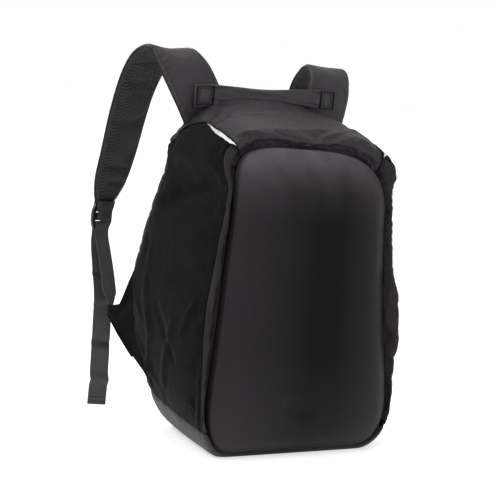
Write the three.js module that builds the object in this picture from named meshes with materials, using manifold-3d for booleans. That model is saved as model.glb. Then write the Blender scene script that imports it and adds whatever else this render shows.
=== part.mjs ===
// Backpack with a hidden rear opening, standing on its flat base.
// Millimetres, +Z up. The front panel faces -Y, the back that is worn faces +Y, and X runs across.
// The origin is on the flat base, halfway between the sides.
import * as THREE from "three";
import { mergeVertices } from "three/addons/utils/BufferGeometryUtils.js";
import Module from "manifold-3d";

const wasm = await Module();
wasm.setup();

// Bag body
const bagHeight = 440;
const bagWidth = 312;
const bagDepth = 200;
const clothWall = 3;
const frontWall = 3.5;
const backWall = 10;
const frontCrown = 15;
const backCrown = 9;
const channelDepth = 13;
const clearance = 0.3;

// Trim sewn on the body
const reflectorWall = 1;
const reflectorSeat = 0.15;
const reflectorSpan = [0.08, 0.42];
const wingStation = 5.25;
const wingRoot = 112;
const wingWall = 3;
const wingTipAcross = 342;
const wingTipBack = 109;
const wingTipUp = 145;

// Shoulder straps, their lower webbing and the ladder-lock buckles
const strapWidth = 68;
const strapWall = 11;
const strapSpacing = 180;
const strapSeatBack = 50;
const strapSeatUp = 412;
const strapRise = 73;
const strapReach = 101;
const splays = { left: 78, right: 40 };
const webbingWidth = 25;
const webbingWall = 1.6;
const webbingSlack = 0.5;
const loopLeg = 9;
const tailLength = 236;
const tailSwing = 18;
const hemLength = 14;
const buckleRail = 5;
const buckleBar = 4.4;
const buckleSlot = 7.5;
const buckleWall = 4;

// Grab handle
const handleWidth = 26;
const handleWall = 5;
const handleUp = 440;
const handleRise = 12;
const handleLift = 7;
const handleBack = 40;
const handleSag = 8;

const colours = {
  nylon: 0x3a373a,
  felt: 0x1b1a1c,
  satin: 0x2a272a,
  mesh: 0x151416,
  webbing: 0x2b2a2c,
  reflector: 0xb9b6b8,
  plastic: 0x121113,
};

function table(names, rows) {
  return rows.map((row) => Object.fromEntries(names.map((name, i) => [name, row[i]])));
}

// One row for each station of the body's outline, from the middle of the base up one side to the
// middle of the top. Across is a share of half the width, up of the height, and back of half the
// depth. Front is the edge of the front panel and rear the edge of the back panel. Bulge is how far
// the side cloth swells out beyond both, as a share of the depth, and groove the share of the
// channel's depth there.
const stations = table(
  ["frontAcross", "frontUp", "frontBack", "rearAcross", "rearUp", "rearBack", "bulge", "groove"],
  [
    [0.0, 0.016, -1.0, 0.0, 0.026, 0.64, 0.058, 0.27],
    [0.4, 0.016, -1.0, 0.38, 0.026, 0.64, 0.058, 0.27],
    [0.69, 0.02, -1.0, 0.58, 0.038, 0.65, 0.055, 0.32],
    [0.82, 0.055, -1.01, 0.7, 0.085, 0.69, 0.052, 0.6],
    [0.872, 0.125, -1.02, 0.79, 0.175, 0.75, 0.06, 1.0],
    [0.85, 0.25, -0.98, 0.865, 0.295, 0.83, 0.09, 1.0],
    [0.808, 0.386, -0.92, 0.88, 0.42, 0.89, 0.12, 1.0],
    [0.779, 0.523, -0.87, 0.86, 0.545, 0.87, 0.1, 1.0],
    [0.753, 0.648, -0.845, 0.82, 0.66, 0.82, 0.08, 1.0],
    [0.737, 0.739, -0.82, 0.765, 0.76, 0.76, 0.075, 1.0],
    [0.692, 0.802, -0.72, 0.66, 0.85, 0.71, 0.15, 1.0],
    [0.564, 0.845, -0.6, 0.5, 0.914, 0.68, 0.11, 0.9],
    [0.32, 0.864, -0.57, 0.27, 0.947, 0.67, 0.06, 0.8],
    [0.0, 0.866, -0.56, 0.0, 0.955, 0.67, 0.05, 0.8],
  ],
);

// One row for each line of the side cloth from the channel's floor to the back panel. Back is the
// share of the way from the front edge to the rear edge, out the share of the bulge, and groove the
// share of the channel's depth.
const clothLines = table(
  ["back", "out", "groove"],
  [
    [0.0, 0.0, 1.0],
    [0.0, 0.16, 1.0],
    [0.0, 0.26, 0.25],
    [0.0, 0.5, -0.12],
    [0.012, 0.86, 0.0],
    [0.07, 1.02, 0.0],
    [0.26, 1.08, 0.0],
    [0.5, 1.1, 0.0],
    [0.75, 1.02, 0.0],
    [0.92, 0.84, 0.0],
    [1.0, 0.5, 0.0],
    [1.0, 0.0, 0.0],
  ],
);

// One row for each ring of a panel from its spine to its edge: reach is the share of the way out,
// crown the share of the panel's swell, and groove the share of the channel's depth.
const ringNames = ["reach", "crown", "groove"];
const frontRings = table(ringNames, [
  [0.0, 1.0, 0.0],
  [0.4, 0.86, 0.0],
  [0.72, 0.55, 0.0],
  [0.92, 0.2, 0.0],
  [0.985, 0.05, 0.05],
  [1.0, 0.0, 0.35],
  [1.0, 0.0, 1.0],
]);
const backRings = table(ringNames, [
  [0.0, 1.0, 0.0],
  [0.45, 0.93, 0.0],
  [0.8, 0.7, 0.0],
  [0.95, 0.4, 0.0],
  [1.0, 0.0, 0.0],
]);

// Seams of the side cloth. The base reaches up to station baseSeam on each side, and the top comes
// down to topSeam, which has one row for each line where it turns.
const topStation = stations.length - 1;
const ringStations = 2 * topStation;
const baseSeam = 3.4;
const topSeam = table(["line", "station"], [
  [0, 10.0],
  [4.45, 10.55],
  [7, 10.6],
  [9.25, 9.7],
  [11, 9.6],
]);

// One row for each place along a shoulder strap, from its seat on the top to its lower end. Out is
// the share of the strap's splay, back of its reach and up of its rise. Slant and turn are the
// angles of its width, in degrees, and width and wall the shares of the strap's own.
const strapPath = table(
  ["out", "back", "up", "slant", "turn", "width", "wall"],
  [
    [-0.2, 0.0, -0.3, 35, 5, 1.0, 0.45],
    [0.0, 0.0, 0.0, 33, 5, 1.0, 0.5],
    [0.2, -0.01, 0.33, 28, 4, 1.0, 0.7],
    [0.4, 0.04, 0.68, 16, 2, 1.0, 0.9],
    [0.53, 0.16, 0.92, 6, 0, 1.0, 1.0],
    [0.62, 0.31, 1.0, 0, 0, 1.0, 1.0],
    [0.72, 0.47, 0.9, 0, 7, 1.0, 1.0],
    [0.79, 0.6, 0.65, 0, 13, 1.0, 1.0],
    [0.85, 0.69, 0.27, 0, 17, 1.0, 1.0],
    [0.88, 0.79, -0.22, 0, 19, 1.0, 1.0],
    [0.91, 0.89, -0.85, 0, 20, 0.96, 1.0],
    [0.96, 0.96, -1.34, 0, 20, 0.86, 0.95],
    [1.0, 1.0, -1.66, 0, 20, 0.6, 0.8],
  ],
);

// One row for each place along the wing from inside the body to its tip: along is the share of the
// way to the tip, and low and high are its edges, as shares of its root measured from the tip.
const wingPath = table(["along", "low", "high"], [
  [-0.5, -0.62, 0.42],
  [0.0, -0.52, 0.32],
  [0.16, -0.46, 0.19],
  [0.33, -0.37, 0.1],
  [0.7, -0.21, 0.1],
  [1.0, -0.1, 0.1],
]);

// One row for each place down the loose tail of the webbing: down is the share of its length, back
// and in the shares of its swing towards the back and towards the bag, and turn how far it twists.
const tailPath = table(["down", "back", "in", "turn"], [
  [0.1, 0.15, 0.1, 18],
  [0.22, -0.1, 0.3, 8],
  [0.38, -0.4, 0.6, -6],
  [0.56, -0.5, 0.72, -14],
  [0.75, -0.55, 0.8, -18],
  [0.9, -0.6, 0.84, -20],
]);

// Lines at which each part of the side cloth is drawn, from front to rear.
const borderLines = [0, 1, 2, 3, 3.6, 4.45];
const sideLines = [4.45, 5, 5.7, 6.5, 7.3, 8.1, 8.7, 9.25];
const rearLines = [9.25, 10, 10.5, 11];
const acrossLines = [...borderLines, ...sideLines.slice(1), ...rearLines.slice(1)];

const sideSteps = 14;
const topSteps = 12;
const baseSteps = 8;
const slightly = 0.02;

// Value at a place along a list read by at(index), on a smooth curve through its entries.
function smooth(at, place) {
  const i = Math.floor(place);
  const f = place - i;
  const [a, b, c, d] = [at(i - 1), at(i), at(i + 1), at(i + 2)];
  return b + 0.5 * f * (c - a + f * (2 * a - 5 * b + 4 * c - d + f * (3 * (b - c) + d - a)));
}

// Column of an open table at a place between its rows.
function alongTable(table, column, place) {
  const last = table.length - 1;
  return smooth((i) => table[Math.min(Math.max(i, 0), last)][column], place);
}

// Column of the stations at place s round the whole body: 0 is the middle of the base, and s grows
// up the -X side, over the top and down the +X side.
function aroundBody(column, s, mirrored = false) {
  return smooth((i) => {
    const k = ((i % ringStations) + ringStations) % ringStations;
    const onFirstSide = k <= topStation;
    const value = stations[onFirstSide ? k : ringStations - k][column];
    return mirrored && onFirstSide ? -value : value;
  }, s);
}

function edgePoint(edge, s) {
  return new THREE.Vector3(
    (aroundBody(edge + "Across", s, true) * bagWidth) / 2,
    (aroundBody(edge + "Back", s) * bagDepth) / 2,
    aroundBody(edge + "Up", s) * bagHeight,
  );
}

function grooveAt(s) {
  return channelDepth * aroundBody("groove", s);
}

// Direction in which the side cloth swells at s, square to the outline.
function outwardAt(s) {
  const step = 0.25;
  const ahead = edgePoint("front", s + step).add(edgePoint("rear", s + step));
  const along = ahead.sub(edgePoint("front", s - step)).sub(edgePoint("rear", s - step));
  return new THREE.Vector3(-along.z, 0, along.x).normalize();
}

// Outer face of the side cloth at station s and line v, flat where it stands on the ground.
function clothPoint(s, v) {
  const point = edgePoint("front", s).lerp(edgePoint("rear", s), alongTable(clothLines, "back", v));
  const swell = alongTable(clothLines, "out", v) * aroundBody("bulge", s) * bagDepth;
  point.addScaledVector(outwardAt(s), swell);
  point.y += alongTable(clothLines, "groove", v) * grooveAt(s);
  point.z = Math.max(point.z, 0);
  return point;
}

// Depth of a panel's edge where it is at a given height, found by halving the way up its side.
function edgeBack(edge, z) {
  let [low, high] = [0, topStation];
  for (let i = 0; i < 24; i++) {
    const middle = (low + high) / 2;
    if (aroundBody(edge + "Up", middle) * bagHeight < z) low = middle;
    else high = middle;
  }
  return (aroundBody(edge + "Back", low) * bagDepth) / 2;
}

// Point of a panel at station s and ring r. The rings close in on an upright spine.
function panelPoint(edgeName, rings, swell, s, r) {
  const edge = edgePoint(edgeName, s);
  const low = edgePoint(edgeName, 0).z;
  const high = edgePoint(edgeName, topStation).z;
  const share = THREE.MathUtils.clamp((edge.z - low) / (high - low), 0, 1);
  const spine = new THREE.Vector3(0, 0, THREE.MathUtils.lerp(low, high, 0.3 + 0.4 * share));
  const point = spine.lerp(edge, alongTable(rings, "reach", r));
  point.y = edgeBack(edgeName, point.z);
  point.y += alongTable(rings, "crown", r) * swell + alongTable(rings, "groove", r) * grooveAt(s);
  return point;
}

const frontPoint = (s, r) => panelPoint("front", frontRings, -frontCrown, s, r);
const backPoint = (s, r) => panelPoint("rear", backRings, backCrown, s, r);

// Station of the seam between side and top at line v.
function topSeamAt(v) {
  const next = topSeam.findIndex((row) => row.line >= v - 1e-9);
  const after = topSeam[Math.max(next, 1)];
  const before = topSeam[Math.max(next, 1) - 1];
  const share = (v - before.line) / (after.line - before.line);
  return THREE.MathUtils.lerp(before.station, after.station, THREE.MathUtils.smoothstep(share, 0, 1));
}

// Direction that a surface faces at (s, v), turned round where its lines run the other way.
function facing(surface, s, v) {
  const alongS = surface(s + slightly, v).sub(surface(s - slightly, v));
  const alongV = surface(s, v + slightly).sub(surface(s, v - slightly));
  return alongS.cross(alongV).normalize();
}

// Points of a surface and the same points moved inwards by the wall, as columns of rows. Every edge
// stands back from its seam by half the clearance. A closed sheet runs round a spine of its own.
function sheetGrid(surface, columns, wall, { turned = false, closed = false, raise = 0 } = {}) {
  const outer = [];
  const inner = [];
  const turn = turned ? -1 : 1;
  for (const column of columns) {
    const faces = column.map(([s, v]) => facing(surface, s, v).multiplyScalar(turn));
    if (closed) faces[0].set(0, -turn, 0);
    outer.push(column.map(([s, v], j) => surface(s, v).addScaledVector(faces[j], raise)));
    inner.push(outer.at(-1).map((point, j) => point.clone().addScaledVector(faces[j], -wall)));
  }
  const standBack = (from, towards, mate) => {
    const shift = towards.clone().sub(from);
    if (shift.length() > clearance) shift.setLength(clearance / 2);
    from.add(shift);
    mate.add(shift);
  };
  const lastColumn = columns.length - 1;
  const lastRow = columns[0].length - 1;
  outer.forEach((column, i) => {
    standBack(column[lastRow], column[lastRow - 1], inner[i][lastRow]);
    if (!closed) standBack(column[0], column[1], inner[i][0]);
  });
  if (!closed) {
    for (let j = 0; j <= lastRow; j++) {
      standBack(outer[0][j], outer[1][j], inner[0][j]);
      standBack(outer[lastColumn][j], outer[lastColumn - 1][j], inner[lastColumn][j]);
    }
  }
  return { outer, inner, turned, closed };
}

// Geometry from a list of triangles, each three points, with no edge of zero length.
function geometryOf(triangles) {
  const apart = (a, b) => a.distanceTo(b) > 1e-3;
  const kept = triangles.filter(([a, b, c]) => apart(a, b) && apart(b, c) && apart(c, a));
  const geometry = new THREE.BufferGeometry().setFromPoints(kept.flat());
  return mergeVertices(geometry, 1e-3);
}

// Closed wall between the outer and inner points of a sheet.
function sheetSolid(grid) {
  const { outer, inner, turned, closed } = grid;
  const triangles = [];
  const quad = (a, b, c, d) => {
    if (turned) triangles.push([a, c, b], [a, d, c]);
    else triangles.push([a, b, c], [a, c, d]);
  };
  const columnCount = outer.length;
  const lastRow = outer[0].length - 1;
  const spans = closed ? columnCount : columnCount - 1;
  for (let i = 0; i < spans; i++) {
    const next = (i + 1) % columnCount;
    for (let j = 0; j < lastRow; j++) {
      quad(outer[i][j], outer[next][j], outer[next][j + 1], outer[i][j + 1]);
      quad(inner[i][j], inner[i][j + 1], inner[next][j + 1], inner[next][j]);
    }
    quad(outer[i][lastRow], outer[next][lastRow], inner[next][lastRow], inner[i][lastRow]);
    if (!closed) quad(outer[i][0], inner[i][0], inner[next][0], outer[next][0]);
  }
  if (!closed) {
    for (let j = 0; j < lastRow; j++) {
      quad(outer[0][j], outer[0][j + 1], inner[0][j + 1], inner[0][j]);
      quad(outer[spans][j], inner[spans][j], inner[spans][j + 1], outer[spans][j + 1]);
    }
  }
  return geometryOf(triangles);
}

// Solid through a row of rings of points, with flat ends.
function loftSolid(rings) {
  const triangles = [];
  const count = rings[0].length;
  for (let i = 0; i + 1 < rings.length; i++) {
    for (let k = 0; k < count; k++) {
      const n = (k + 1) % count;
      triangles.push([rings[i][k], rings[i][n], rings[i + 1][n]]);
      triangles.push([rings[i][k], rings[i + 1][n], rings[i + 1][k]]);
    }
  }
  const last = rings.at(-1);
  for (let k = 1; k + 1 < count; k++) {
    triangles.push([rings[0][0], rings[0][k + 1], rings[0][k]]);
    triangles.push([last[0], last[k], last[k + 1]]);
  }
  return geometryOf(triangles);
}

// Flat band along a row of places. Each has a point, the direction across the band, its width and
// its wall. The long edges are rounded by the share round of the wall, and grow enlarges it all.
function bandSolid(places, round = 0, grow = 0) {
  const rings = places.map(({ point, across, width, wall }, i) => {
    const before = places[Math.max(i - 1, 0)].point;
    const after = places[Math.min(i + 1, places.length - 1)].point;
    const along = after.clone().sub(before).normalize();
    const square = across.clone().addScaledVector(along, -across.dot(along)).normalize();
    const face = along.clone().cross(square);
    const w = width / 2 + grow;
    const t = wall / 2 + grow;
    const c = round * t;
    const half = round
      ? [[w - 1.6 * c, -t], [w, -t + c], [w, t - c], [w - 1.6 * c, t]]
      : [[w, -t], [w, t]];
    const corners = [...half, ...half.map(([x, y]) => [-x, -y])];
    return corners.map(([x, y]) => point.clone().addScaledVector(square, x).addScaledVector(face, y));
  });
  return loftSolid(rings);
}

function solidOf(geometry) {
  const plain = new THREE.BufferGeometry().setAttribute("position", geometry.getAttribute("position"));
  plain.setIndex(geometry.index);
  const merged = mergeVertices(plain, 1e-3);
  const vertProperties = new Float32Array(merged.getAttribute("position").array);
  const triVerts = new Uint32Array(merged.index.array);
  return new wasm.Manifold(new wasm.Mesh({ numProp: 3, vertProperties, triVerts }));
}

function geometryOfSolid(solid) {
  const mesh = solid.getMesh();
  const geometry = new THREE.BufferGeometry();
  geometry.setAttribute("position", new THREE.BufferAttribute(new Float32Array(mesh.vertProperties), 3));
  geometry.setIndex(new THREE.BufferAttribute(new Uint32Array(mesh.triVerts), 1));
  return geometry;
}

// What is left of a geometry outside the given solids.
function cutBack(geometry, ...cutters) {
  return geometryOfSolid(cutters.reduce((left, cutter) => left.subtract(cutter), solidOf(geometry)));
}

// Stations from one place to another for each line, as columns of a sheet.
function columnsBetween(fromAt, toAt, steps, lines) {
  return Array.from({ length: steps + 1 }, (_, i) =>
    lines.map((v) => [THREE.MathUtils.lerp(fromAt(v), toAt(v), i / steps), v]),
  );
}

const firstSideColumns = (lines) => columnsBetween(() => baseSeam, topSeamAt, sideSteps, lines);
const secondSideColumns = (lines) =>
  columnsBetween((v) => ringStations - topSeamAt(v), () => ringStations - baseSeam, sideSteps, lines);
const topColumns = (lines) =>
  columnsBetween(topSeamAt, (v) => ringStations - topSeamAt(v), topSteps, lines);
const baseColumns = (lines) => columnsBetween(() => -baseSeam, () => baseSeam, baseSteps, lines);

// Stations all round the body as the seams at one line divide them.
function ringPlaces(v) {
  const parts = [baseColumns([v]), firstSideColumns([v]), topColumns([v]), secondSideColumns([v])];
  return parts.flatMap((columns) => columns.slice(0, -1).map((column) => column[0][0]));
}

const frontColumns = () => ringPlaces(0).map((s) => frontRings.map((_, r) => [s, r]));
const backColumns = () => ringPlaces(clothLines.length - 1).map((s) => backRings.map((_, r) => [s, r]));

// The whole body's outer face, a little enlarged, as one solid for cutting what is seated on it.
function bodyBlock() {
  const firstPlaces = ringPlaces(0);
  const clothPlaces = acrossLines.slice(1).map((v) => ringPlaces(v).map((s) => [s, v]));
  const grown = ([s, v]) => clothPoint(s, v).addScaledVector(facing(clothPoint, s, v), clearance);
  const lifted = new THREE.Vector3(0, clearance, 0);
  const backAt = (s) => backRings.slice(0, -1).map((_, r) => backPoint(s, r).add(lifted)).reverse();
  const rings = firstPlaces.map((first, i) => [
    ...frontRings.map((_, r) => frontPoint(first, r)),
    ...clothPlaces.map((column) => grown(column[i])),
    ...backAt(clothPlaces.at(-1)[i][0]),
  ]);
  const triangles = [];
  rings.forEach((ring, i) => {
    const next = rings[(i + 1) % rings.length];
    for (let j = 0; j + 1 < ring.length; j++) {
      triangles.push([ring[j], next[j], next[j + 1]], [ring[j], next[j + 1], ring[j + 1]]);
    }
  });
  return solidOf(geometryOf(triangles));
}

const nodes = new THREE.Group();

function addNode(name, geometry, colour, roughness = 0.8) {
  const material = new THREE.MeshStandardMaterial({ color: colour, roughness, metalness: 0 });
  const mesh = new THREE.Mesh(geometry, material);
  mesh.name = name;
  nodes.add(mesh);
}

function clothNode(name, columns, colour) {
  addNode(name, sheetSolid(sheetGrid(clothPoint, columns, clothWall)), colour);
}

function panelNode(name, surface, columns, wall, turned, colour, roughness) {
  const grid = sheetGrid(surface, columns, wall, { turned, closed: true });
  addNode(name, sheetSolid(grid), colour, roughness);
}

clothNode("top_panel", topColumns(acrossLines), colours.nylon);
clothNode("base_panel", baseColumns(acrossLines), colours.nylon);
panelNode("front_panel", frontPoint, frontColumns(), frontWall, false, colours.satin, 0.5);
panelNode("back_panel", backPoint, backColumns(), backWall, true, colours.mesh, 0.9);

// Rows of a strap's table as places in space. The side is -1 for the left one and 1 for the right.
function strapPlaces(name, side) {
  return strapPath.map((row) => {
    const slant = THREE.MathUtils.degToRad(row.slant);
    const turn = THREE.MathUtils.degToRad(row.turn);
    return {
      point: new THREE.Vector3(
        side * (strapSpacing / 2 + row.out * splays[name]),
        strapSeatBack + row.back * strapReach,
        strapSeatUp + row.up * strapRise,
      ),
      across: new THREE.Vector3(Math.cos(slant), -side * Math.sin(turn), -side * Math.sin(slant)),
      width: row.width * strapWidth,
      wall: row.wall * strapWall,
    };
  });
}

// More places between those given, on a smooth curve through them.
function finer(places, count) {
  const at = (read) => (i) => read(places[Math.min(Math.max(i, 0), places.length - 1)]);
  return Array.from({ length: count + 1 }, (_, k) => {
    const place = (k / count) * (places.length - 1);
    const value = (read) => smooth(at(read), place);
    const vector = (name) =>
      new THREE.Vector3(...["x", "y", "z"].map((axis) => value((row) => row[name][axis])));
    return {
      point: vector("point"),
      across: vector("across"),
      width: value((row) => row.width),
      wall: value((row) => row.wall),
    };
  });
}

// Places of a webbing ribbon through the given points.
function ribbonPlaces(points, across) {
  return points.map((point) => ({ point, across, width: webbingWidth, wall: webbingWall }));
}

// Half circle of the ribbon round a bar of the buckle, over it or, with over -1, under it.
const bendRadius = buckleWall / 2 + clearance + webbingWall / 2;
function roundBar(frame, height, over) {
  return [0, 45, 90, 135, 180].map((degrees) => {
    const angle = THREE.MathUtils.degToRad(degrees);
    const up = over * (buckleBar / 2 + bendRadius * Math.sin(angle));
    return frame.at(0, -bendRadius * Math.cos(angle), height + up);
  });
}

// Frame of a buckle hung under the lower end of a strap: at(across, out, up) from its middle.
function buckleFrame(place, strapLow, side) {
  const across = place.across.clone().setZ(0).normalize();
  const out = new THREE.Vector3(0, 0, 1).cross(across);
  const hang = clearance + loopLeg + bendRadius + 1.5 * buckleBar + buckleSlot;
  const middle = new THREE.Vector3(place.point.x + side * 2, place.point.y + 2, strapLow - hang);
  const at = (x, y, z) =>
    middle.clone().addScaledVector(across, x).addScaledVector(out, y).setZ(middle.z + z);
  return { across, at };
}

function buckleSolid(frame) {
  const barSpacing = buckleSlot + buckleBar;
  const inner = webbingWidth / 2 + webbingSlack;
  const outer = inner + buckleRail;
  const plate = (corners, deep) => {
    const ring = (y) => corners.map(([x, z]) => frame.at(x, y, z));
    return solidOf(loftSolid([ring(deep / 2), ring(-deep / 2)]));
  };
  const high = barSpacing + buckleBar / 2;
  const holes = [0, -1].map((row) => {
    const low = row * barSpacing + buckleBar / 2;
    const top = low + buckleSlot;
    return plate([[inner, low], [inner, top], [-inner, top], [-inner, low]], 3 * buckleWall);
  });
  const half = [
    [outer - buckleRail, -high],
    [outer, buckleRail - high],
    [outer, high - buckleRail],
    [outer - buckleRail, high],
  ];
  const body = plate([...half, ...half.map(([x, z]) => [-x, -z])], buckleWall);
  return holes.reduce((left, hole) => left.subtract(hole), body);
}

// Edges of the wing's flat cloth from inside the body to the tip, and the way it runs.
function wingEdges(side, root) {
  const tip = new THREE.Vector3((side * wingTipAcross) / 2, wingTipBack, wingTipUp);
  const along = tip.clone().sub(root).setZ(0);
  const face = new THREE.Vector3(0, 0, 1).cross(along).setLength(wingWall / 2);
  const rings = wingPath.map((row) => {
    const foot = root.clone().addScaledVector(along, row.along).setZ(wingTipUp);
    const low = foot.clone().setZ(wingTipUp + row.low * wingRoot);
    const high = foot.clone().setZ(wingTipUp + row.high * wingRoot);
    return [low.clone().sub(face), low.add(face), high.clone().add(face), high.sub(face)];
  });
  return { rings, along: along.normalize(), tip };
}

// Places of the webbing from the wing up to the buckle, round its lower bar and down to the hem.
function webbingPlaces(frame, side, wing) {
  const foot = wing.tip.clone().addScaledVector(wing.along, -webbingWidth / 2);
  foot.z += wingPath.at(-1).high * wingRoot + clearance;
  const low = -(buckleSlot + buckleBar);
  const bend = roundBar(frame, low, 1);
  const level = wing.along.clone().multiplyScalar(-side);
  const sewn = { point: foot.clone().setZ(foot.z + 4 * webbingWall), across: level };
  const up = [0, 0.12, 0.45, 0.8].map((share) => ({
    point: foot.clone().lerp(frame.at(0, -bendRadius, low - 3 * buckleBar), share),
    across: level.clone().lerp(frame.across, Math.min(1, (2 * share) ** 0.6)),
  }));
  const down = tailPath.map((row) => ({
    point: frame.at(0, bendRadius, low - row.down * tailLength).add(
      new THREE.Vector3(-side * row.in * tailSwing, row.back * tailSwing, 0),
    ),
    across: new THREE.Vector3(
      Math.cos(THREE.MathUtils.degToRad(row.turn)),
      -side * Math.sin(THREE.MathUtils.degToRad(row.turn)),
      0,
    ),
  }));
  const end = down.at(-1);
  const below = (drop) => ({ point: end.point.clone().setZ(end.point.z - drop), across: end.across });
  const turn = bend.map((point) => ({ point, across: frame.across }));
  const leg = (out, drop) => ({
    point: frame.at(0, out * bendRadius, low - drop),
    across: frame.across,
  });
  const rise = [leg(-1, 2 * buckleBar), leg(-1, buckleBar)];
  const fall = [leg(1, buckleBar), leg(1, 2 * buckleBar)];
  const band = [up[0], sewn, ...up.slice(1), ...rise, ...turn, ...fall, ...down, below(hemLength)];
  const thick = { width: webbingWidth, wall: webbingWall };
  const hem = { width: webbingWidth, wall: 2 * webbingWall };
  return [
    ...band.map((place) => ({ ...place, ...thick })),
    { ...below(hemLength + 0.5), ...hem },
    { ...below(2 * hemLength), ...hem },
  ];
}

// Strip lying on the side panel just under its top seam, on the panel's own facets.
function stripSolid(side, columns) {
  const lines = sideLines.filter((v) => v <= 7.4);
  const cloth = columns(lines);
  const [seam, next] = side < 0 ? [cloth.at(-1), cloth.at(-2)] : [cloth[0], cloth[1]];
  const rows = reflectorSpan.map((share) =>
    seam.map(([s, v], j) => {
      const point = clothPoint(s, v).lerp(clothPoint(...next[j]), share);
      return [point, facing(clothPoint, THREE.MathUtils.lerp(s, next[j][0], share), v)];
    }),
  );
  const raised = (by) =>
    rows.map((row) => row.map(([point, face]) => point.clone().addScaledVector(face, by)));
  const gap = clearance + reflectorSeat;
  return sheetSolid({ outer: raised(gap + reflectorWall), inner: raised(gap), turned: side < 0 });
}

const block = bodyBlock();
const straps = {};
for (const [name, side, columns] of [["left", -1, firstSideColumns], ["right", 1, secondSideColumns]]) {
  clothNode("border_" + name, columns(borderLines), colours.nylon);
  clothNode("side_panel_" + name, columns(sideLines), colours.felt);
  clothNode("rear_band_" + name, columns(rearLines), colours.nylon);

  addNode("reflective_strip_" + name, stripSolid(side, columns), colours.reflector, 0.4);

  straps[name] = finer(strapPlaces(name, side), 26);
  const strap = cutBack(bandSolid(straps[name], 0.5), block);
  addNode("strap_" + name, strap, colours.nylon);

  strap.computeBoundingBox();
  const strapLow = strap.boundingBox.min.z;
  const frame = buckleFrame(straps[name].at(-1), strapLow, side);
  addNode("buckle_" + name, geometryOfSolid(buckleSolid(frame)), colours.plastic, 0.35);

  const legTop = strapLow - clearance - frame.at(0, 0, 0).z;
  const bend = roundBar(frame, buckleSlot + buckleBar, -1);
  const loop = [frame.at(0, -bendRadius, legTop), ...bend, frame.at(0, bendRadius, legTop)];
  addNode("strap_loop_" + name, bandSolid(ribbonPlaces(loop, frame.across)), colours.webbing);

  const rootStation = side < 0 ? wingStation : ringStations - wingStation;
  const wing = wingEdges(side, clothPoint(rootStation, 9.25));
  addNode("wing_" + name, cutBack(loftSolid(wing.rings), block), colours.felt);
  addNode("webbing_" + name, bandSolid(webbingPlaces(frame, side, wing)), colours.webbing);
}

// The handle runs between the outer faces of the two straps and rises a little in the middle.
const handleEnd = (name, side) => straps[name][5].point.x + side * 5;
const handlePlaces = [0, 0.06, 0.15, 0.3, 0.5, 0.7, 0.85, 0.94, 1].map((share) => ({
  point: new THREE.Vector3(
    THREE.MathUtils.lerp(handleEnd("left", -1), handleEnd("right", 1), share),
    handleBack + handleSag * Math.sin(Math.PI * share),
    handleUp + handleRise * (share - 0.5) + handleLift * Math.sin(Math.PI * share),
  ),
  across: new THREE.Vector3(0, 0, 1),
  width: handleWidth,
  wall: handleWall,
}));
const strapSolids = ["left", "right"].map((name) => solidOf(bandSolid(straps[name], 0.5, clearance)));
addNode("grab_handle", cutBack(bandSolid(handlePlaces, 0.4), ...strapSolids), colours.nylon);

export default nodes;
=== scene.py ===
"""Backpack with a hidden rear opening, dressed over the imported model. Tables are in millimetres."""
import math

import bmesh
import bpy
import numpy as np
from mathutils import Matrix, Vector


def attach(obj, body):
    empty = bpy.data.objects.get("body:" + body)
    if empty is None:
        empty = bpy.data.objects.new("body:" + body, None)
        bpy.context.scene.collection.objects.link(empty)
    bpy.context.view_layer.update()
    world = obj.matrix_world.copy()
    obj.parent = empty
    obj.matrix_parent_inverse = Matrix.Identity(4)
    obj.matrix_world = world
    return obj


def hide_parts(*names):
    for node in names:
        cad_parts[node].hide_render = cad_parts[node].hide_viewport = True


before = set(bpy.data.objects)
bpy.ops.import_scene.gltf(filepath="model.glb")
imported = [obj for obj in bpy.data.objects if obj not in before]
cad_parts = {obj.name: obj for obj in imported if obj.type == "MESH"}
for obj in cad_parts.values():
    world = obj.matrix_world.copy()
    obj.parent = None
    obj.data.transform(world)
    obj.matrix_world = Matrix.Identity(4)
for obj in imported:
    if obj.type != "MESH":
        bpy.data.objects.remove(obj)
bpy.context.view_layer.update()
scene = bpy.context.scene

MM = 0.001

# Camera: the view of the photograph, with the picture rolled a little clockwise.
VIEW_TURN = math.radians(35)
VIEW_DIP = math.radians(6)
VIEW_ROLL = math.radians(6)
VIEW_AWAY = 1870
VIEW_HEIGHT = 436
VIEW_SHIFT_BACK = 34
FOCAL_PIXELS = 1423
PICTURE_PIXELS = 500
PICTURE_OFFSET = 6
SENSOR_WIDTH = 36

# Body of the bag
BAG_HEIGHT = 440
BAG_WIDTH = 312
BAG_DEPTH = 200
CHANNEL_DEPTH = 13
FRONT_CROWN = 15
BACK_CROWN = 9
CLOTH_WALL = 2.4
CLEARANCE = 0.3

# Straps, webbing, buckles and handle
STRAP_WIDTH = 68
STRAP_WALL = 11
STRAP_SPACING = 180
STRAP_SEAT_BACK = 50
STRAP_SEAT_UP = 412
STRAP_RISE = 73
STRAP_REACH = 101
SPLAYS = {"left": 78, "right": 40}
SIDES = {"left": -1, "right": 1}
WEBBING_WIDTH = 25
WEBBING_WALL = 1.6


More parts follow.
